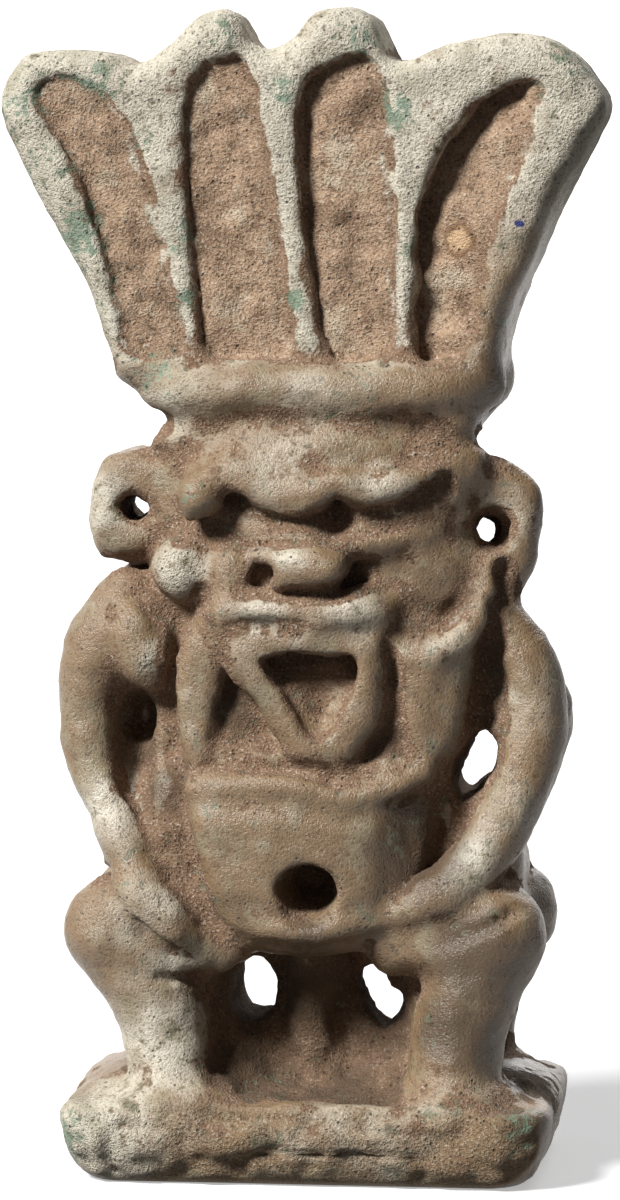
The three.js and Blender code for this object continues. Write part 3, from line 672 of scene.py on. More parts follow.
def lattice_distances():
    """The distance at each lattice point. It is worked out where a lattice COARSE times as
    coarse says that the surface is close, and taken from that lattice elsewhere."""
    wide = lattice(CELL * COARSE)
    coarse = shape(wide.reshape(-1, 3)).reshape(wide.shape[:3])
    close = np.abs(coarse) < CELL * COARSE * CLOSE
    fine = lattice(CELL)
    where = [np.minimum(np.arange(n) // COARSE, m - 1) for n, m in zip(fine.shape, coarse.shape)]
    ahead = [np.minimum(w + 1, m - 1) for w, m in zip(where, coarse.shape)]
    mask = np.zeros(fine.shape[:3], bool)
    for i in (where[0], ahead[0]):
        for j in (where[1], ahead[1]):
            for k in (where[2], ahead[2]):
                mask |= close[np.ix_(i, j, k)]
    distance = coarse[np.ix_(*where)]
    distance[mask] = shape(fine[mask])
    return distance


def net(distance):
    """The surface net: a vertex at the mean of the places where a cell's edges cross zero, and a
    face round each lattice edge that crosses it, wound so that it faces outwards."""
    inside = distance < 0
    counts = np.array(distance.shape) - 1
    corners = [(i, j, k) for i in (0, 1) for j in (0, 1) for k in (0, 1)]

    def at(array, corner):
        i, j, k = corner
        return array[i:i + counts[0], j:j + counts[1], k:k + counts[2]]

    filled = sum(at(inside, corner).astype(np.int8) for corner in corners)
    cells = np.argwhere((filled > 0) & (filled < 8))
    number = np.full(counts, -1)
    number[tuple(cells.T)] = np.arange(len(cells))
    value = {c: distance[tuple((cells + c).T)] for c in corners}
    total, crossings = np.zeros((len(cells), 3)), np.zeros(len(cells))
    for a in corners:
        for axis in range(3):
            if a[axis]:
                continue
            b = tuple(1 if n == axis else v for n, v in enumerate(a))
            crossed = (value[a] < 0) != (value[b] < 0)
            gap = np.where(crossed, value[a] - value[b], 1)
            share = np.where(crossed, value[a] / gap, 0)
            crossing = np.tile(np.array(a, float), (len(cells), 1))
            crossing[:, axis] += share
            total += crossing * crossed[:, None]
            crossings += crossed
    vertices = LOW + (cells + total / crossings[:, None]) * CELL
    faces = []
    for axis in range(3):
        ends = [slice(None)] * 3
        starts = list(ends)
        starts[axis], ends[axis] = slice(None, -1), slice(1, None)
        start, end = inside[tuple(starts)], inside[tuple(ends)]
        edges = np.argwhere(start != end)
        leaves = start[tuple(edges.T)]
        u, v = (axis + 1) % 3, (axis + 2) % 3
        ring = []
        for du, dv in ((1, 1), (0, 1), (0, 0), (1, 0)):
            cell = edges.copy()
            cell[:, u] -= du
            cell[:, v] -= dv
            ring.append(number[tuple(cell.T)])
        quads = np.stack(ring, axis=1)
        faces.append(np.where(leaves[:, None], quads, quads[:, ::-1]))
    return vertices, np.concatenate(faces)


SLOPE_STEP = 0.06


def slope(p):
    """The gradient of the shape's distance, from the difference over a short step each way."""
    rows = []
    for axis in range(3):
        shift = np.zeros(3)
        shift[axis] = SLOPE_STEP
        rows.append((shape(p + shift) - shape(p - shift)) / (2 * SLOPE_STEP))
    return np.stack(rows, axis=1)


# The least slope that a distance is divided by, and the most that a vertex is moved.
LEAST_SLOPE = 0.3
MOST_MOVED = 0.1


def bare_skin():
    """The net with its vertices drawn onto the surface, each by its distance over the slope there
    along its normal, and the normals."""
    vertices, faces = net(lattice_distances())
    normals = slope(vertices)
    steep = np.maximum(np.linalg.norm(normals, axis=1), LEAST_SLOPE)
    normals /= steep[:, None]
    moved = np.clip(shape(vertices) / steep, -MOST_MOVED, MOST_MOVED)
    return vertices - normals * moved[:, None], faces, normals


# Relief


def cell_value(i, j, k, seed):
    """A fixed value from -1 to 1 for a lattice cell, from its whole numbers mixed by multiplying
    and shifting."""
    h = (i * 374761393 + j * 668265263 + k * 2147483647 + seed * 974634777) & 0xFFFFFFFF
    h = ((h ^ (h >> 13)) * 1274126177) & 0xFFFFFFFF
    h = ((h ^ (h >> 16)) * 2246822519) & 0xFFFFFFFF
    h ^= h >> 15
    return h / 0x7FFFFFFF - 1.0


LUMP_SHIFT = 1000.0
LAYER_SIZE = 0.5
LAYER_HEIGHT = 0.55


def lumps(p, size, seed):
    """Smooth noise from -1 to 1 with lumps of a size: the values of the eight corners of the
    point's lattice cell, eased into each other. The shift keeps the whole numbers positive."""
    q = p / size + LUMP_SHIFT
    whole = np.floor(q).astype(np.int64)
    t = q - whole
    t = t * t * (3 - 2 * t)
    total = np.zeros(len(p))
    for i in (0, 1):
        for j in (0, 1):
            for k in (0, 1):
                part = np.abs(1 - i - t[:, 0]) * np.abs(1 - j - t[:, 1]) * np.abs(1 - k - t[:, 2])
                cell = whole + (i, j, k)
                total += part * cell_value(cell[:, 0], cell[:, 1], cell[:, 2], seed)
    return total


def rough(p, size, seed, octaves=3):
    """Lumps on lumps: each layer has LAYER_SIZE and LAYER_HEIGHT times the size and the height of
    the one before."""
    total, height = np.zeros(len(p)), 1.0
    for layer in range(octaves):
        total += height * lumps(p, size * LAYER_SIZE**layer, seed + layer)
        height *= LAYER_HEIGHT
    return total


def spot(p, centre, radius):
    """1 at a centre, falling smoothly to 0 at the radius."""
    return eased(1, 0, np.linalg.norm(p - np.array(centre), axis=1) / radius)


# Where the colours lie: each place is its centre, its radius and its strength. CLEAN is where the
# hollows keep little dirt.

# This table holds the glaze's pale places and also painted highlights where light falls: on the
# nose's ridge, the upper lip, the right brow and the right forearm.
PALE_GLAZE_AND_HIGHLIGHTS = [
    ((-5.5, -4, 30.3), 5.0, 0.65), ((0.0, -4.5, 30.3), 3.5, 0.5), ((-1.0, -5, 28), 4.5, 0.45),
    ((-5.1, -4.8, 22.7), 2.3, 1.0), ((-9.0, -2.8, 25.5), 3.2, 0.9), ((-1.5, -6, 21.1), 2.6, 0.7),
    ((2.5, -5.8, 21.1), 2.5, 0.7), ((-2.0, -5.5, 18.8), 2.5, 0.45), ((-6.4, -4.6, 18.7), 1.5, 0.8),
    ((-8.3, -4, 12.6), 3.6, 0.95), ((-6.0, -5.7, 8.4), 2.6, 0.7), ((-6.0, -5.3, 2.4), 5.0, 1.0),
    ((-8.5, -7, -0.8), 6.5, 1.0), ((8.6, -4.5, 12.4), 3.0, 0.5), ((7.2, -5.4, 10.6), 2.4, 1.0),
    ((2.5, -7.4, -0.6), 6.0, 0.45), ((9.5, -3.5, 17.0), 3.0, 0.5), ((-4.9, -4.9, 17.0), 2.5, 0.4),
    ((-10.4, -3, 17), 3.0, 0.4), ((3.6, -5.3, 26.3), 2.6, 0.6), ((0.0, -5.3, 26.3), 2.6, 0.25),
    ((-5.0, -5.3, 5.8), 2.6, 0.9), ((-7.6, -5.4, 7.4), 2.4, 0.5), ((6.6, -4.4, 19.7), 2.0, 0.45),
    ((8.6, -2.8, 25.0), 2.6, 0.5), ((0.2, -5.8, 20.0), 2.2, 0.5), ((7.0, -5.4, 1.0), 2.4, 0.4),
    ((-0.4, -6, 23.5), 1.6, 0.8), ((2.6, -6, 17.0), 1.2, 0.6),
]
DIRT = [
    ((-5.6, -4.5, 11.6), 2.2, 1.0), ((-4.6, -4.6, 8.8), 1.6, 0.9), ((-7.6, -3.6, 14.6), 2.2, 1.0),
    ((0.0, -4, 0.6), 4.4, 1.0), ((3.0, -4, 0.8), 3.6, 1.0), ((-3.0, -4.9, 24.4), 1.6, 0.8),
    ((-5.8, -4.0, 25.6), 1.6, 0.8), ((-6.9, -3.2, 21.8), 2.0, 0.8), ((4.9, -4.3, 20.6), 1.7, 1.0),
    ((0.6, -4.9, 21.9), 1.8, 0.8), ((-2.8, -4.0, 15.3), 2.2, 1.0), ((0, -4.5, 28.9), 2.6, 0.5),
    ((2.6, -4.4, 14.2), 2.4, 1.0), ((-4.0, -4.0, 19.0), 1.2, 0.8), ((9.8, -2.4, 0.3), 3.2, 0.9),
    ((0.5, -4.3, 17.3), 1.9, 1.0), ((6.7, 0, 3.0), 3.0, 0.9), ((-6.3, 0, 3.0), 3.0, 0.9),
]
GREEN = [
    ((10.9, -2.2, 43.3), 2.4, 1.0), ((-9.4, -2.8, 36.9), 2.4, 0.9), ((-5.3, -3.4, 36.7), 1.4, 1.0),
    ((-6.2, -3.8, 31.1), 1.8, 0.9), ((-4.4, -5.3, 26.0), 0.9, 1.0), ((9.9, -7.4, -1.0), 2.2, 0.45),
    ((-12.0, -2.5, 42.7), 2.6, 0.8), ((4.1, -3.2, 42.2), 1.4, 1.0), ((4.8, -3.6, 36.3), 1.2, 0.7),
    ((-10.4, -7.0, -1.4), 3.0, 0.9), ((-11.0, -2.6, 40.0), 2.2, 0.8), ((-0.2, -3.4, 34.1), 1.0, 0.9),
    ((-9.4, -2.6, 43.3), 2.6, 0.8), ((2.6, -3.0, 45.2), 2.2, 0.7), ((-10.2, -3.0, 25.8), 1.6, 0.7),
    ((-0.9, -3.2, 43.0), 1.2, 0.9), ((-3.4, -3.0, 45.6), 1.8, 0.5), ((-7.9, -3.0, 34.4), 2.2, 0.7),
    ((-5.0, -3.5, 34.1), 1.0, 0.8), ((-7.0, -3.4, 41.0), 1.4, 0.6), ((8.6, -2.4, 33.4), 1.6, 0.5),
]
CLEAN = [
    ((-9.0, -6.5, 0.2), 6.0, 0.9), ((-7.1, -5.7, 7.6), 3.0, 0.9), ((7.8, -5.6, 7.2), 3.2, 0.85),
    ((-5.6, -5.4, 4.6), 2.4, 0.7),
]
# This table paints shade: dark brown on the right side, which is turned away from the key light,
# under the belly, on the base's front, in the shaded recesses by the arms and face, and in the niche
# and gaps between the legs.
PAINTED_SHADE = [
    ((5.0, -5.4, 11.0), 4.4, 1.0), ((7.6, -5.2, 6.2), 4.2, 1.0), ((7.0, -5.4, 3.2), 3.6, 0.9),
    ((0.6, -2.4, 4.0), 3.8, 1.0), ((8.2, -3.2, 30.4), 4.0, 0.7), ((6.2, -3.8, 22.4), 3.0, 0.6),
    ((0.5, -5.4, 6.2), 2.2, 0.9), ((2.0, -3.5, 1.2), 3.4, 0.9), ((-2.4, -3.2, 1.2), 3.2, 0.9),
    ((10.6, -7, -0.6), 4.0, 0.6), ((-5.6, -3.6, 12.8), 2.6, 0.8), ((0.6, -7.5, -2.8), 7.0, 0.15),
    ((-7.4, -3.0, 15.0), 2.6, 0.8), ((0.7, -5.2, 10.5), 4.5, 0.35), ((-3.1, -3.6, 16.6), 2.4, 0.9),
    ((4.6, -4.6, 20.6), 1.8, 0.6), ((3.6, -4.2, 15.4), 2.0, 0.8), ((9.0, -2.6, 20.6), 2.2, 0.5),
    ((10.2, -1.0, 25.0), 3.0, 0.9), ((9.8, -2.6, 0.4), 3.8, 1.0), ((11.0, -1.5, 13.0), 3.4, 0.6),
    ((10.6, -2.0, 7.4), 3.4, 0.6), ((0.6, -6.3, 8.0), 1.8, 0.9), ((7.4, -2.4, 29.3), 1.8, 1.0),
    ((-4.4, -4.8, 5.25), 0.9, 1.0), ((-3.3, -4.2, 5.2), 1.0, 1.0), ((-6.7, -5.7, 7.4), 0.8, 0.8),
    ((-5.5, -5.7, 6.6), 0.8, 0.8), ((6.7, 0, 3.0), 3.0, 0.8), ((-6.3, 0, 3.0), 3.0, 0.8),
    ((0.6, -4.3, 17.4), 1.6, 0.45), ((8.0, -3.0, 19.0), 1.4, 0.7),
]
BROWN = [
    ((-4.2, -6.6, -0.1), 1.1, 0.8), ((-5.3, -3.2, 43.4), 1.2, 0.9), ((-5.2, -3.3, 40.9), 1.1, 0.9),
    ((-5.0, -3.3, 39.3), 0.9, 0.8), ((5.2, -3.2, 42.5), 0.9, 0.7), ((0.1, -3.3, 37.2), 0.9, 0.6),
]
CHIP = [((6.7, -2.75, 36.7), 1.1, 1.0)]
BLUE = [((9.25, -3.35, 37.4), 0.36, 1.0)]
CHALK = [
    ((-5.1, -4.8, 22.7), 2.2, 0.9), ((-8.5, -7, -0.4), 6.5, 0.6), ((-5.5, -4, 30.3), 5.0, 0.4),
    ((-6.0, -5.7, 8.0), 2.6, 0.6), ((-9.0, -2.8, 25.5), 3.2, 0.4), ((-6.4, -4.6, 18.7), 1.5, 0.7),
]


def patches(p, rows):
    """The strongest of some patches at each point, each falling off smoothly to its radius."""
    return np.max([strength * spot(p, centre, radius) for centre, radius, strength in rows], axis=0)


def sunk_and_proud(v, normals):
    """How sunk each place is: for points some way outside it, 1 less their distance over that
    way. And how proud it is: the same for points inside it."""
    outside, inside = (0.5, 1.1, 2.0), (0.4, 0.9)
    sunk = sum(1 - np.clip(shape(v + way * normals) / way, 0, 1) for way in outside)
    proud = sum(1 + np.clip(shape(v - way * normals) / way, -1, 0) for way in inside)
    return sunk / len(outside), proud / len(inside)


def feather_floors(v):
    """1 where the feathers' hollows lie behind the crown's front, with an uneven edge."""
    outline = np.min([plan.distance(v) for plan in FEATHER_PLANS], axis=0)
    outline = outline + 0.25 * rough(v, 1.6, 61)
    behind = eased(0.5, 0.0, crown_front(v[:, 2]) + 0.35 + np.abs(v[:, 1]))
    return eased(0.3, -0.6, outline) * behind


def between_the_legs(v):
    """1 in the niche under the belly, eased to 0 at its sides, its top and its front."""
    sides = eased(4.7, 3.9, np.abs(v[:, 0] - 0.3))
    return sides * eased(6.2, 5.2, v[:, 2]) * eased(6.4, 5.6, np.abs(v[:, 1]))


def relief(v, rough_floor, worn_base):
    """How far each place stands out: broad waves and lumps, more lumps on the rough floors, and
    on the worn faces of the base coarse lumps, fine lumps and cracks. It ends above the foot."""
    height = 0.08 * rough(v, 2.4, 11, 2) + 0.065 * rough(v, 0.95, 23)
    height += 0.22 * rough_floor * rough(v, 1.3, 37)
    height += 0.12 * worn_base * rough(v * (0.7, 1, 1.2), 1.5, 91)
    height += 0.13 * worn_base * rough(v, 0.8, 93, 2)
    height -= 0.2 * worn_base * eased(0.2, 0.0, np.abs(lumps(v * (0.6, 1, 1.4), 1.9, 95)))
    return height * eased(-BASE_HEIGHT + 0.05, -BASE_HEIGHT + 0.6, v[:, 2])


def worn_skin():
    """The skin with its relief, its faces, and the maps that the finish reads at its vertices."""
    v, faces, normals = bare_skin()
    sunk, proud = sunk_and_proud(v, normals)
    in_hollows = feather_floors(v)
    in_niche = between_the_legs(v)
    worn_base = eased(0.3, -0.4, v[:, 2]) * eased(6.2, 7.0, np.abs(v[:, 1]))
    dirt_patches = np.maximum(patches(v, DIRT), in_niche)
    rough_floor = np.maximum(np.maximum(in_hollows, dirt_patches), eased(0.25, 0.5, sunk))
    v = v + normals * relief(v, rough_floor, worn_base)[:, None]
    v[:, 2] = np.maximum(v[:, 2], -BASE_HEIGHT)

    crown_glaze = eased(30.5, 32.5, v[:, 2])
    crown_glaze *= 1 - 0.85 * eased(4.5, 7.0, v[:, 0]) * eased(41, 34, v[:, 2])
    dirt = eased(0.15, 0.42, sunk + 0.13 * rough(v, 0.9, 71)) * (1 - patches(v, CLEAN))
    dirt = np.maximum(np.maximum(dirt, dirt_patches), in_hollows)
    dirt = np.maximum(dirt, 0.45 * worn_base * eased(-0.3, 0.7, rough(v, 1.2, 97)))
    maps = {
        "dirt": dirt,
        "proud": proud,
        # Pale glaze with painted highlights among it, and the crown's pale glaze.
        "pale_glaze_and_highlight": np.maximum(patches(v, PALE_GLAZE_AND_HIGHLIGHTS), crown_glaze),
        "streaks": 0.5 + 0.5 * rough(v, 1.4, 81) / 1.5,
        "in_hollows": in_hollows,
        # Painted shade: the table's places, and half strength in the niche between the legs.
        "painted_shade": np.maximum(patches(v, PAINTED_SHADE), 0.5 * in_niche),
        "chalky": np.maximum(0.55 * crown_glaze, np.maximum(worn_base, patches(v, CHALK))),
        "green": patches(v, GREEN),
        "brown": patches(v, BROWN),
        "chip": patches(v, CHIP),
        "blue": patches(v, BLUE),
    }
    return v, faces, maps


def skin_mesh(name):
    """The worn skin as a mesh in the row's metres, smooth-shaded, with its maps."""
    vertices, faces, maps = worn_skin()
    mesh = bpy.data.meshes.new(name)
    mesh.vertices.add(len(vertices))
    mesh.loops.add(faces.size)
    mesh.polygons.add(len(faces))
    placed = (vertices + (0, 0, BASE_HEIGHT)) * MM + (0, 0, LOWEST[2])
    mesh.vertices.foreach_set("co", placed.astype(np.float32).ravel())
    mesh.loops.foreach_set("vertex_index", faces.astype(np.int32).ravel())
    mesh.polygons.foreach_set("loop_start", np.arange(0, faces.size, 4, dtype=np.int32))
    mesh.polygons.foreach_set("use_smooth", np.ones(len(faces), bool))
    mesh.update(calc_edges=True)
    for key, values in maps.items():
        layer = mesh.attributes.new(key, "FLOAT", "POINT")
        layer.data.foreach_set("value", values.astype(np.float32))
    return mesh


# The finish


def srgb(code):
    """A hexadecimal colour as linear red, green, blue and 1."""
    parts = [int(code[i:i + 2], 16) / 255 for i in (0, 2, 4)]
    return [c / 12.92 if c <= 0.04045 else ((c + 0.055) / 1.055) ** 2.4 for c in parts] + [1]


TONES = {name: srgb(code) for name, code in {
    "stained glaze": "887054",
    # Pale glaze, also used for painted highlights.
    "pale glaze and highlight": "cfc7b4",
    "brown streak": "8a765b",
    "green streak": "a3a48c",
    "dirt": "866a52",
    "dirt in hollows": "ae9176",
    "dark dirt": "735841",
    "dust": "c8b9a0",
    "worn edge": "cdc6b6",
    "speck": "5c4733",
    "dark grain": "433222",
    "light grain": "e2dac9",
    # Painted shade.
    "painted_shade": "4d3c2a",
    "green tint": "6f8e78",
    "brown stain": "785a40",
    "chip's ring": "7d5c3e",
    "chip": "c2a27e",
    "blue speck": "222c68",
    "pit": "3a2a1c",
}.items()}


class Finish:
    """A material's nodes, put together by short calls."""

    def __init__(self, name):
        self.material = bpy.data.materials.new(name)
        self.material.use_nodes = True
        self.tree = self.material.node_tree
        self.shader = self.tree.nodes["Principled BSDF"]
        self.place = self.node("ShaderNodeTexCoord").outputs["Object"]

    def node(self, kind, **settings):
        """A new node with its settings."""
        made = self.tree.nodes.new(kind)
        for key, value in settings.items():
            setattr(made, key, value)
        return made

    def put(self, socket, value):
        """A number or colour set on a socket, or another node's output linked to it."""
        if isinstance(value, bpy.types.NodeSocket):
            self.tree.links.new(value, socket)
        else:
            socket.default_value = value

    def attribute(self, key):
        """One of the skin's maps."""
        return self.node("ShaderNodeAttribute", attribute_name=key).outputs["Fac"]

    def noise(self, size, detail=2.0, roughness=0.6):
        """Noise from 0 to 1 whose lumps are of a size in millimetres."""
        made = self.node("ShaderNodeTexNoise")
        self.put(made.inputs["Vector"], self.place)
        self.put(made.inputs["Scale"], 1 / (size * MM))
        self.put(made.inputs["Detail"], detail)
        self.put(made.inputs["Roughness"], roughness)
        return made.outputs["Fac"]

    def pits(self, size, width, share):
        """Round pits of a width in cells of a size in millimetres: 1 in them, 0 elsewhere. Only a
        share of the cells has one."""
        made = self.node("ShaderNodeTexVoronoi")
        self.put(made.inputs["Vector"], self.place)
        self.put(made.inputs["Scale"], 1 / (size * MM))
        pit = self.band(made.outputs["Distance"], width / size * 0.5, width / size * 0.25)
        parts = self.node("ShaderNodeSeparateColor")
        self.put(parts.inputs["Color"], made.outputs["Color"])
        chosen = self.math("LESS_THAN", parts.outputs[0], share)
        return self.math("MULTIPLY", pit, chosen)

    def math(self, operation, a, b=0.0):
        """A sum, product or other operation of two values."""
        made = self.node("ShaderNodeMath", operation=operation)
        self.put(made.inputs[0], a)
        self.put(made.inputs[1], b)
        return made.outputs[0]

    def jitter(self, value, noise, amount):
        """A value moved up and down by an amount of noise."""
        shift = self.math("MULTIPLY", self.math("SUBTRACT", noise, 0.5), amount)
        return self.math("ADD", value, shift)

    def band(self, value, low, high, to_low=0.0, to_high=1.0):
        """A value eased from one range to another."""
        made = self.node("ShaderNodeMapRange", interpolation_type="SMOOTHSTEP")
        for key, number in zip(("From Min", "From Max", "To Min", "To Max"),
                               (low, high, to_low, to_high)):
            self.put(made.inputs[key], number)
        self.put(made.inputs["Value"], value)
        return made.outputs["Result"]

    def mix(self, share, a, b):
        """Colour a with a share of colour b."""
        made = self.node("ShaderNodeMix", data_type="RGBA")
        self.put(made.inputs["Factor"], share)
        self.put(made.inputs[6], a)
        self.put(made.inputs[7], b)
        return made.outputs[2]


def glaze_colour(f, streaks, pale_glaze_and_highlight):
    """Stained to pale glaze, the pale standing also for painted highlights, with brown and green
    streaks.
    """
    tone = f.mix(f.band(pale_glaze_and_highlight, 0.1, 0.95), TONES["stained glaze"], TONES["pale glaze and highlight"])
    tone = f.mix(f.band(streaks, 0.45, 0.8, 0, 0.55), tone, TONES["brown streak"])
    return f.mix(f.band(streaks, 0.45, 0.15, 0, 0.3), tone, TONES["green streak"])


def dirt_colour(f, streaks, in_hollows):
    """Brown dirt with dark streaks, lighter and dusted in the feathers' hollows."""
    tone = f.mix(in_hollows, TONES["dirt"], TONES["dirt in hollows"])
    tone = f.mix(f.band(streaks, 0.45, 0.85, 0, 0.75), tone, TONES["dark dirt"])
    dusted = f.math("MULTIPLY", f.band(streaks, 0.4, 0.1, 0, 0.7), in_hollows)
    return f.mix(dusted, tone, TONES["dust"])


def sand(f, colour, small, grain, matt):
    """A colour with dark specks and grains, and with light grains where it is matt."""
    rougher = f.band(matt, 0, 1, 0.95, 1.0)
    specks = f.math("MULTIPLY", f.band(small, 0.54, 0.72, 0, 0.65), rougher)
    colour = f.mix(specks, colour, TONES["speck"])
    dark_grains = f.math("MULTIPLY", f.band(grain, 0.53, 0.7, 0, 0.75), rougher)
    colour = f.mix(dark_grains, colour, TONES["dark grain"])
    light_grains = f.math("MULTIPLY", f.band(grain, 0.45, 0.3, 0, 0.5), matt)
    return f.mix(light_grains, colour, TONES["light grain"])


def stains(f, colour, small, streaks, in_hollows):
    """A colour with painted shade, green tints, brown stains, the chip in its ring and the blue
    speck.
    """
    # Painted shade: dark brown where the shade map is strong.
    painted_shade = f.band(f.jitter(f.attribute("painted_shade"), streaks, 0.4), 0.15, 0.8, 0, 0.85)
    colour = f.mix(painted_shade, colour, TONES["painted_shade"])
    green = f.jitter(f.jitter(f.attribute("green"), small, 2.6), streaks, 1.2)
    kept = f.band(in_hollows, 0.2, 0.8, 0.7, 0.1)
    colour = f.mix(f.math("MULTIPLY", f.band(green, 0.4, 0.95), kept), colour, TONES["green tint"])
    brown = f.jitter(f.jitter(f.attribute("brown"), small, 2.4), streaks, 0.8)
    brown = f.math("MULTIPLY", f.band(brown, 0.3, 0.9), 0.75)
    colour = f.mix(brown, colour, TONES["brown stain"])
    chip = f.jitter(f.attribute("chip"), small, 0.8)
    colour = f.mix(f.band(chip, 0.1, 0.35, 0, 0.7), colour, TONES["chip's ring"])
    colour = f.mix(f.band(chip, 0.4, 0.7), colour, TONES["chip"])
    return f.mix(f.band(f.attribute("blue"), 0.2, 0.45), colour, TONES["blue speck"])


def faience():
    """Worn faience: glaze with painted highlights among its pale places, brown dirt in what is sunk,
    a sandy grain, stains, painted shade where light falls off, and dark pits. The glaze has a dull
    gloss, and the dirt and the chalky places have almost none."""
    f = Finish("worn faience")
    small = f.noise(0.42, detail=3.0, roughness=0.65)
    grain = f.noise(0.12, roughness=0.75)
    streaks = f.jitter(f.attribute("streaks"), small, 0.5)
    in_hollows = f.attribute("in_hollows")
    # The pale glaze, with painted highlights among it.
    pale_glaze_and_highlight = f.jitter(f.attribute("pale_glaze_and_highlight"), streaks, 1.1)
    dirty = f.jitter(f.jitter(f.attribute("dirt"), small, 0.8), streaks, 0.4)
    dirty = f.band(dirty, 0.3, 0.75)
    matt = f.math("MAXIMUM", dirty, f.attribute("chalky"))
    clean = glaze_colour(f, streaks, pale_glaze_and_highlight)
    colour = f.mix(dirty, clean, dirt_colour(f, streaks, in_hollows))
    edges = f.band(f.jitter(f.attribute("proud"), small, 0.8), 0.5, 0.85)
    edges = f.math("MULTIPLY", edges, f.band(pale_glaze_and_highlight, 0.0, 0.7, 0.15, 0.8))
    colour = f.mix(edges, colour, TONES["worn edge"])
    colour = sand(f, colour, small, grain, matt)
    colour = stains(f, colour, small, streaks, in_hollows)
    pits = f.math("MAXIMUM", f.pits(0.95, 0.2, 0.3), f.pits(0.37, 0.15, 0.6))
    pits = f.math("MULTIPLY", pits, f.band(streaks, 0.2, 0.55, 0.35, 1.0))
    colour = f.mix(f.math("MULTIPLY", pits, 0.75), colour, TONES["pit"])
    f.put(f.shader.inputs["Base Color"], colour)
    f.put(f.shader.inputs["Roughness"], f.band(matt, 0, 0.8, 0.37, 0.9))
    height = f.math("ADD", f.math("MULTIPLY", grain, -0.9), f.math("MULTIPLY", small, -0.55))
    height = f.math("SUBTRACT", height, f.math("MULTIPLY", pits, 0.5))
    bump = f.node("ShaderNodeBump")
    f.put(bump.inputs["Strength"], f.band(matt, 0, 0.8, 0.5, 1.0))
    f.put(bump.inputs["Distance"], 0.16 * MM)
    f.put(bump.inputs["Height"], height)
    f.put(f.shader.inputs["Normal"], bump.outputs["Normal"])
    return f.material


figure_object = bpy.data.objects.new("bes_figure_skin", skin_mesh("bes figure skin"))
bpy.context.scene.collection.objects.link(figure_object)
figure_object.data.materials.append(faience())
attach(figure_object, "root")
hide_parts("bes_figure")


# Floor, light and camera


FLOOR_HALF_WIDTH = 2.0
FLOOR_FRONT = -4.0
FLOOR_BACK = 0.75
BEND_RADIUS = 0.35
BEND_STEPS = 24
WALL_HEIGHT = 1.8


def floor_sweep():
    """A floor that bends up into a wall behind: the profile y, z is flat, then a quarter circle,
    then upright, drawn along x."""
    turn = np.linspace(0, np.pi / 2, BEND_STEPS)
    bend_y = FLOOR_BACK + BEND_RADIUS * np.sin(turn)
    bend_z = BEND_RADIUS * (1 - np.cos(turn))
    y = np.concatenate([[FLOOR_FRONT], bend_y, [FLOOR_BACK + BEND_RADIUS]])
    z = np.concatenate([[0], bend_z, [WALL_HEIGHT]])
    sides = (-FLOOR_HALF_WIDTH, FLOOR_HALF_WIDTH)
    points = np.concatenate([np.stack([np.full(len(y), x), y, z], axis=1) for x in sides])
    n = len(y)
    quads = [(i, n + i, n + i + 1, i + 1) for i in range(n - 1)]
    mesh = bpy.data.meshes.new("floor")
    mesh.from_pydata(points.tolist(), [], quads)
    mesh.polygons.foreach_set("use_smooth", np.ones(len(quads), bool))
    floor = bpy.data.objects.new("floor", mesh)
    bpy.context.scene.collection.objects.link(floor)
    mesh.materials.append(pale_paper())
    floor.visible_diffuse = False


def pale_paper():
    """Matt pale grey paper that gives off a little light, so that its shade stays soft."""
    paper = bpy.data.materials.new("pale paper")
    paper.use_nodes = True
    shader = paper.node_tree.nodes["Principled BSDF"]
    shader.inputs["Base Color"].default_value = (0.7, 0.7, 0.7, 1)
    shader.inputs["Roughness"].default_value = 0.9
    shader.inputs["Emission Color"].default_value = (1, 1, 1, 1)
    shader.inputs["Emission Strength"].default_value = 0.4
    return paper


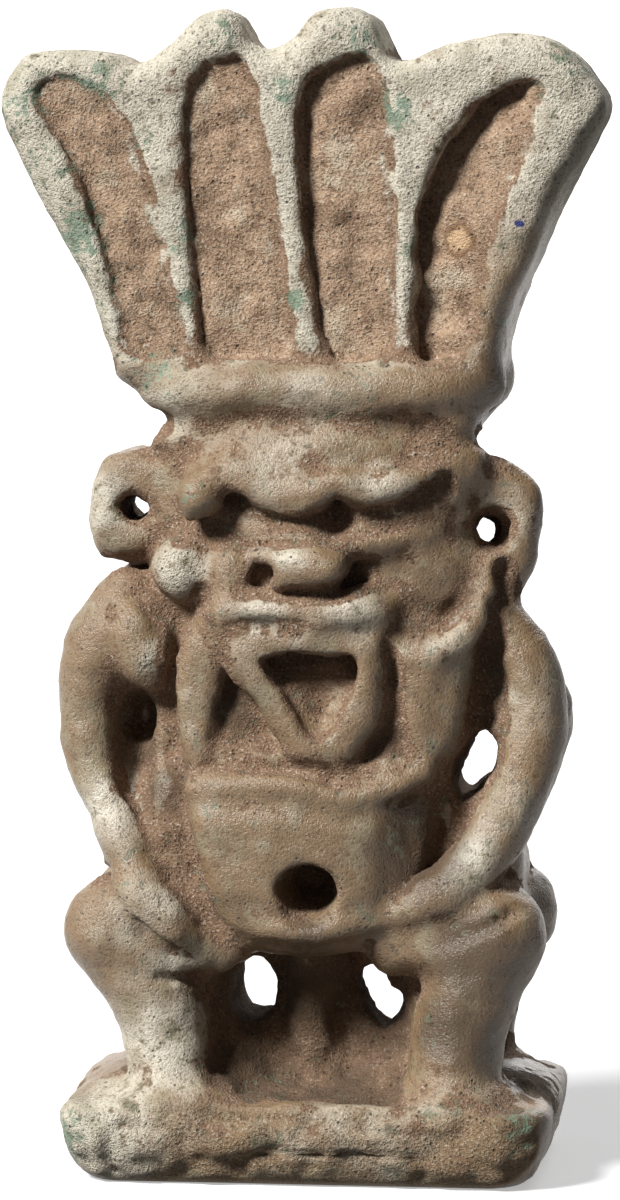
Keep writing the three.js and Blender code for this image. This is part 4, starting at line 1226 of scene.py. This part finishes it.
def soft_light(name, place, aim, size, power):
    """A round white lamp of a size and power at a place, turned to what it aims at."""
    lamp = bpy.data.lights.new(name, "AREA")
    lamp.shape = "DISK"
    lamp.size = size
    lamp.energy = power
    stand = bpy.data.objects.new(name, lamp)
    stand.location = place
    stand.rotation_euler = (Vector(aim) - Vector(place)).to_track_quat("-Z", "Y").to_euler()
    bpy.context.scene.collection.objects.link(stand)


floor_sweep()

# Each light has its place and its aim in metres, its width in metres and its power in watts.
MIDDLE = (0, 0, 25 * MM)
soft_light("key light", (-0.98, -0.98, 1.24), MIDDLE, 0.55, 62.0)
soft_light("back light", (0.3, 0.95, 0.8), MIDDLE, 0.5, 5.0)
soft_light("wall light", (0.0, 0.35, 0.9), (0, 1.1, 0.9), 0.8, 14.0)

world = bpy.data.worlds.new("studio")
world.use_nodes = True
world.node_tree.nodes["Background"].inputs["Color"].default_value = (0.95, 0.96, 1.0, 1)
world.node_tree.nodes["Background"].inputs["Strength"].default_value = 0.07
bpy.context.scene.world = world
bpy.context.scene.view_settings.view_transform = "Standard"

# The camera: how far it is turned to the right and raised, in metres how far off it is and what
# it aims at, and its lens as a length in the photograph's own pixels.
CAMERA_TURN = np.radians(6.5)
CAMERA_RISE = np.radians(4.5)
CAMERA_DISTANCE = 0.21
CAMERA_AIM = (-0.00004, 0, 0.0245)
LENS_IN_PIXELS = 4832
FRAME_HEIGHT_IN_PIXELS = 1200
SENSOR_HEIGHT = 36

camera = bpy.data.cameras.new("camera")
camera.sensor_fit = "VERTICAL"
camera.sensor_height = SENSOR_HEIGHT
camera.lens = SENSOR_HEIGHT * LENS_IN_PIXELS / FRAME_HEIGHT_IN_PIXELS
camera.clip_start = 0.005
tripod = bpy.data.objects.new("camera", camera)
heading = Vector((
    np.sin(CAMERA_TURN) * np.cos(CAMERA_RISE),
    -np.cos(CAMERA_TURN) * np.cos(CAMERA_RISE),
    np.sin(CAMERA_RISE),
))
tripod.location = Vector(CAMERA_AIM) + heading * CAMERA_DISTANCE
tripod.rotation_euler = (-heading).to_track_quat("-Z", "Y").to_euler()
bpy.context.scene.collection.objects.link(tripod)
bpy.context.scene.camera = tripod
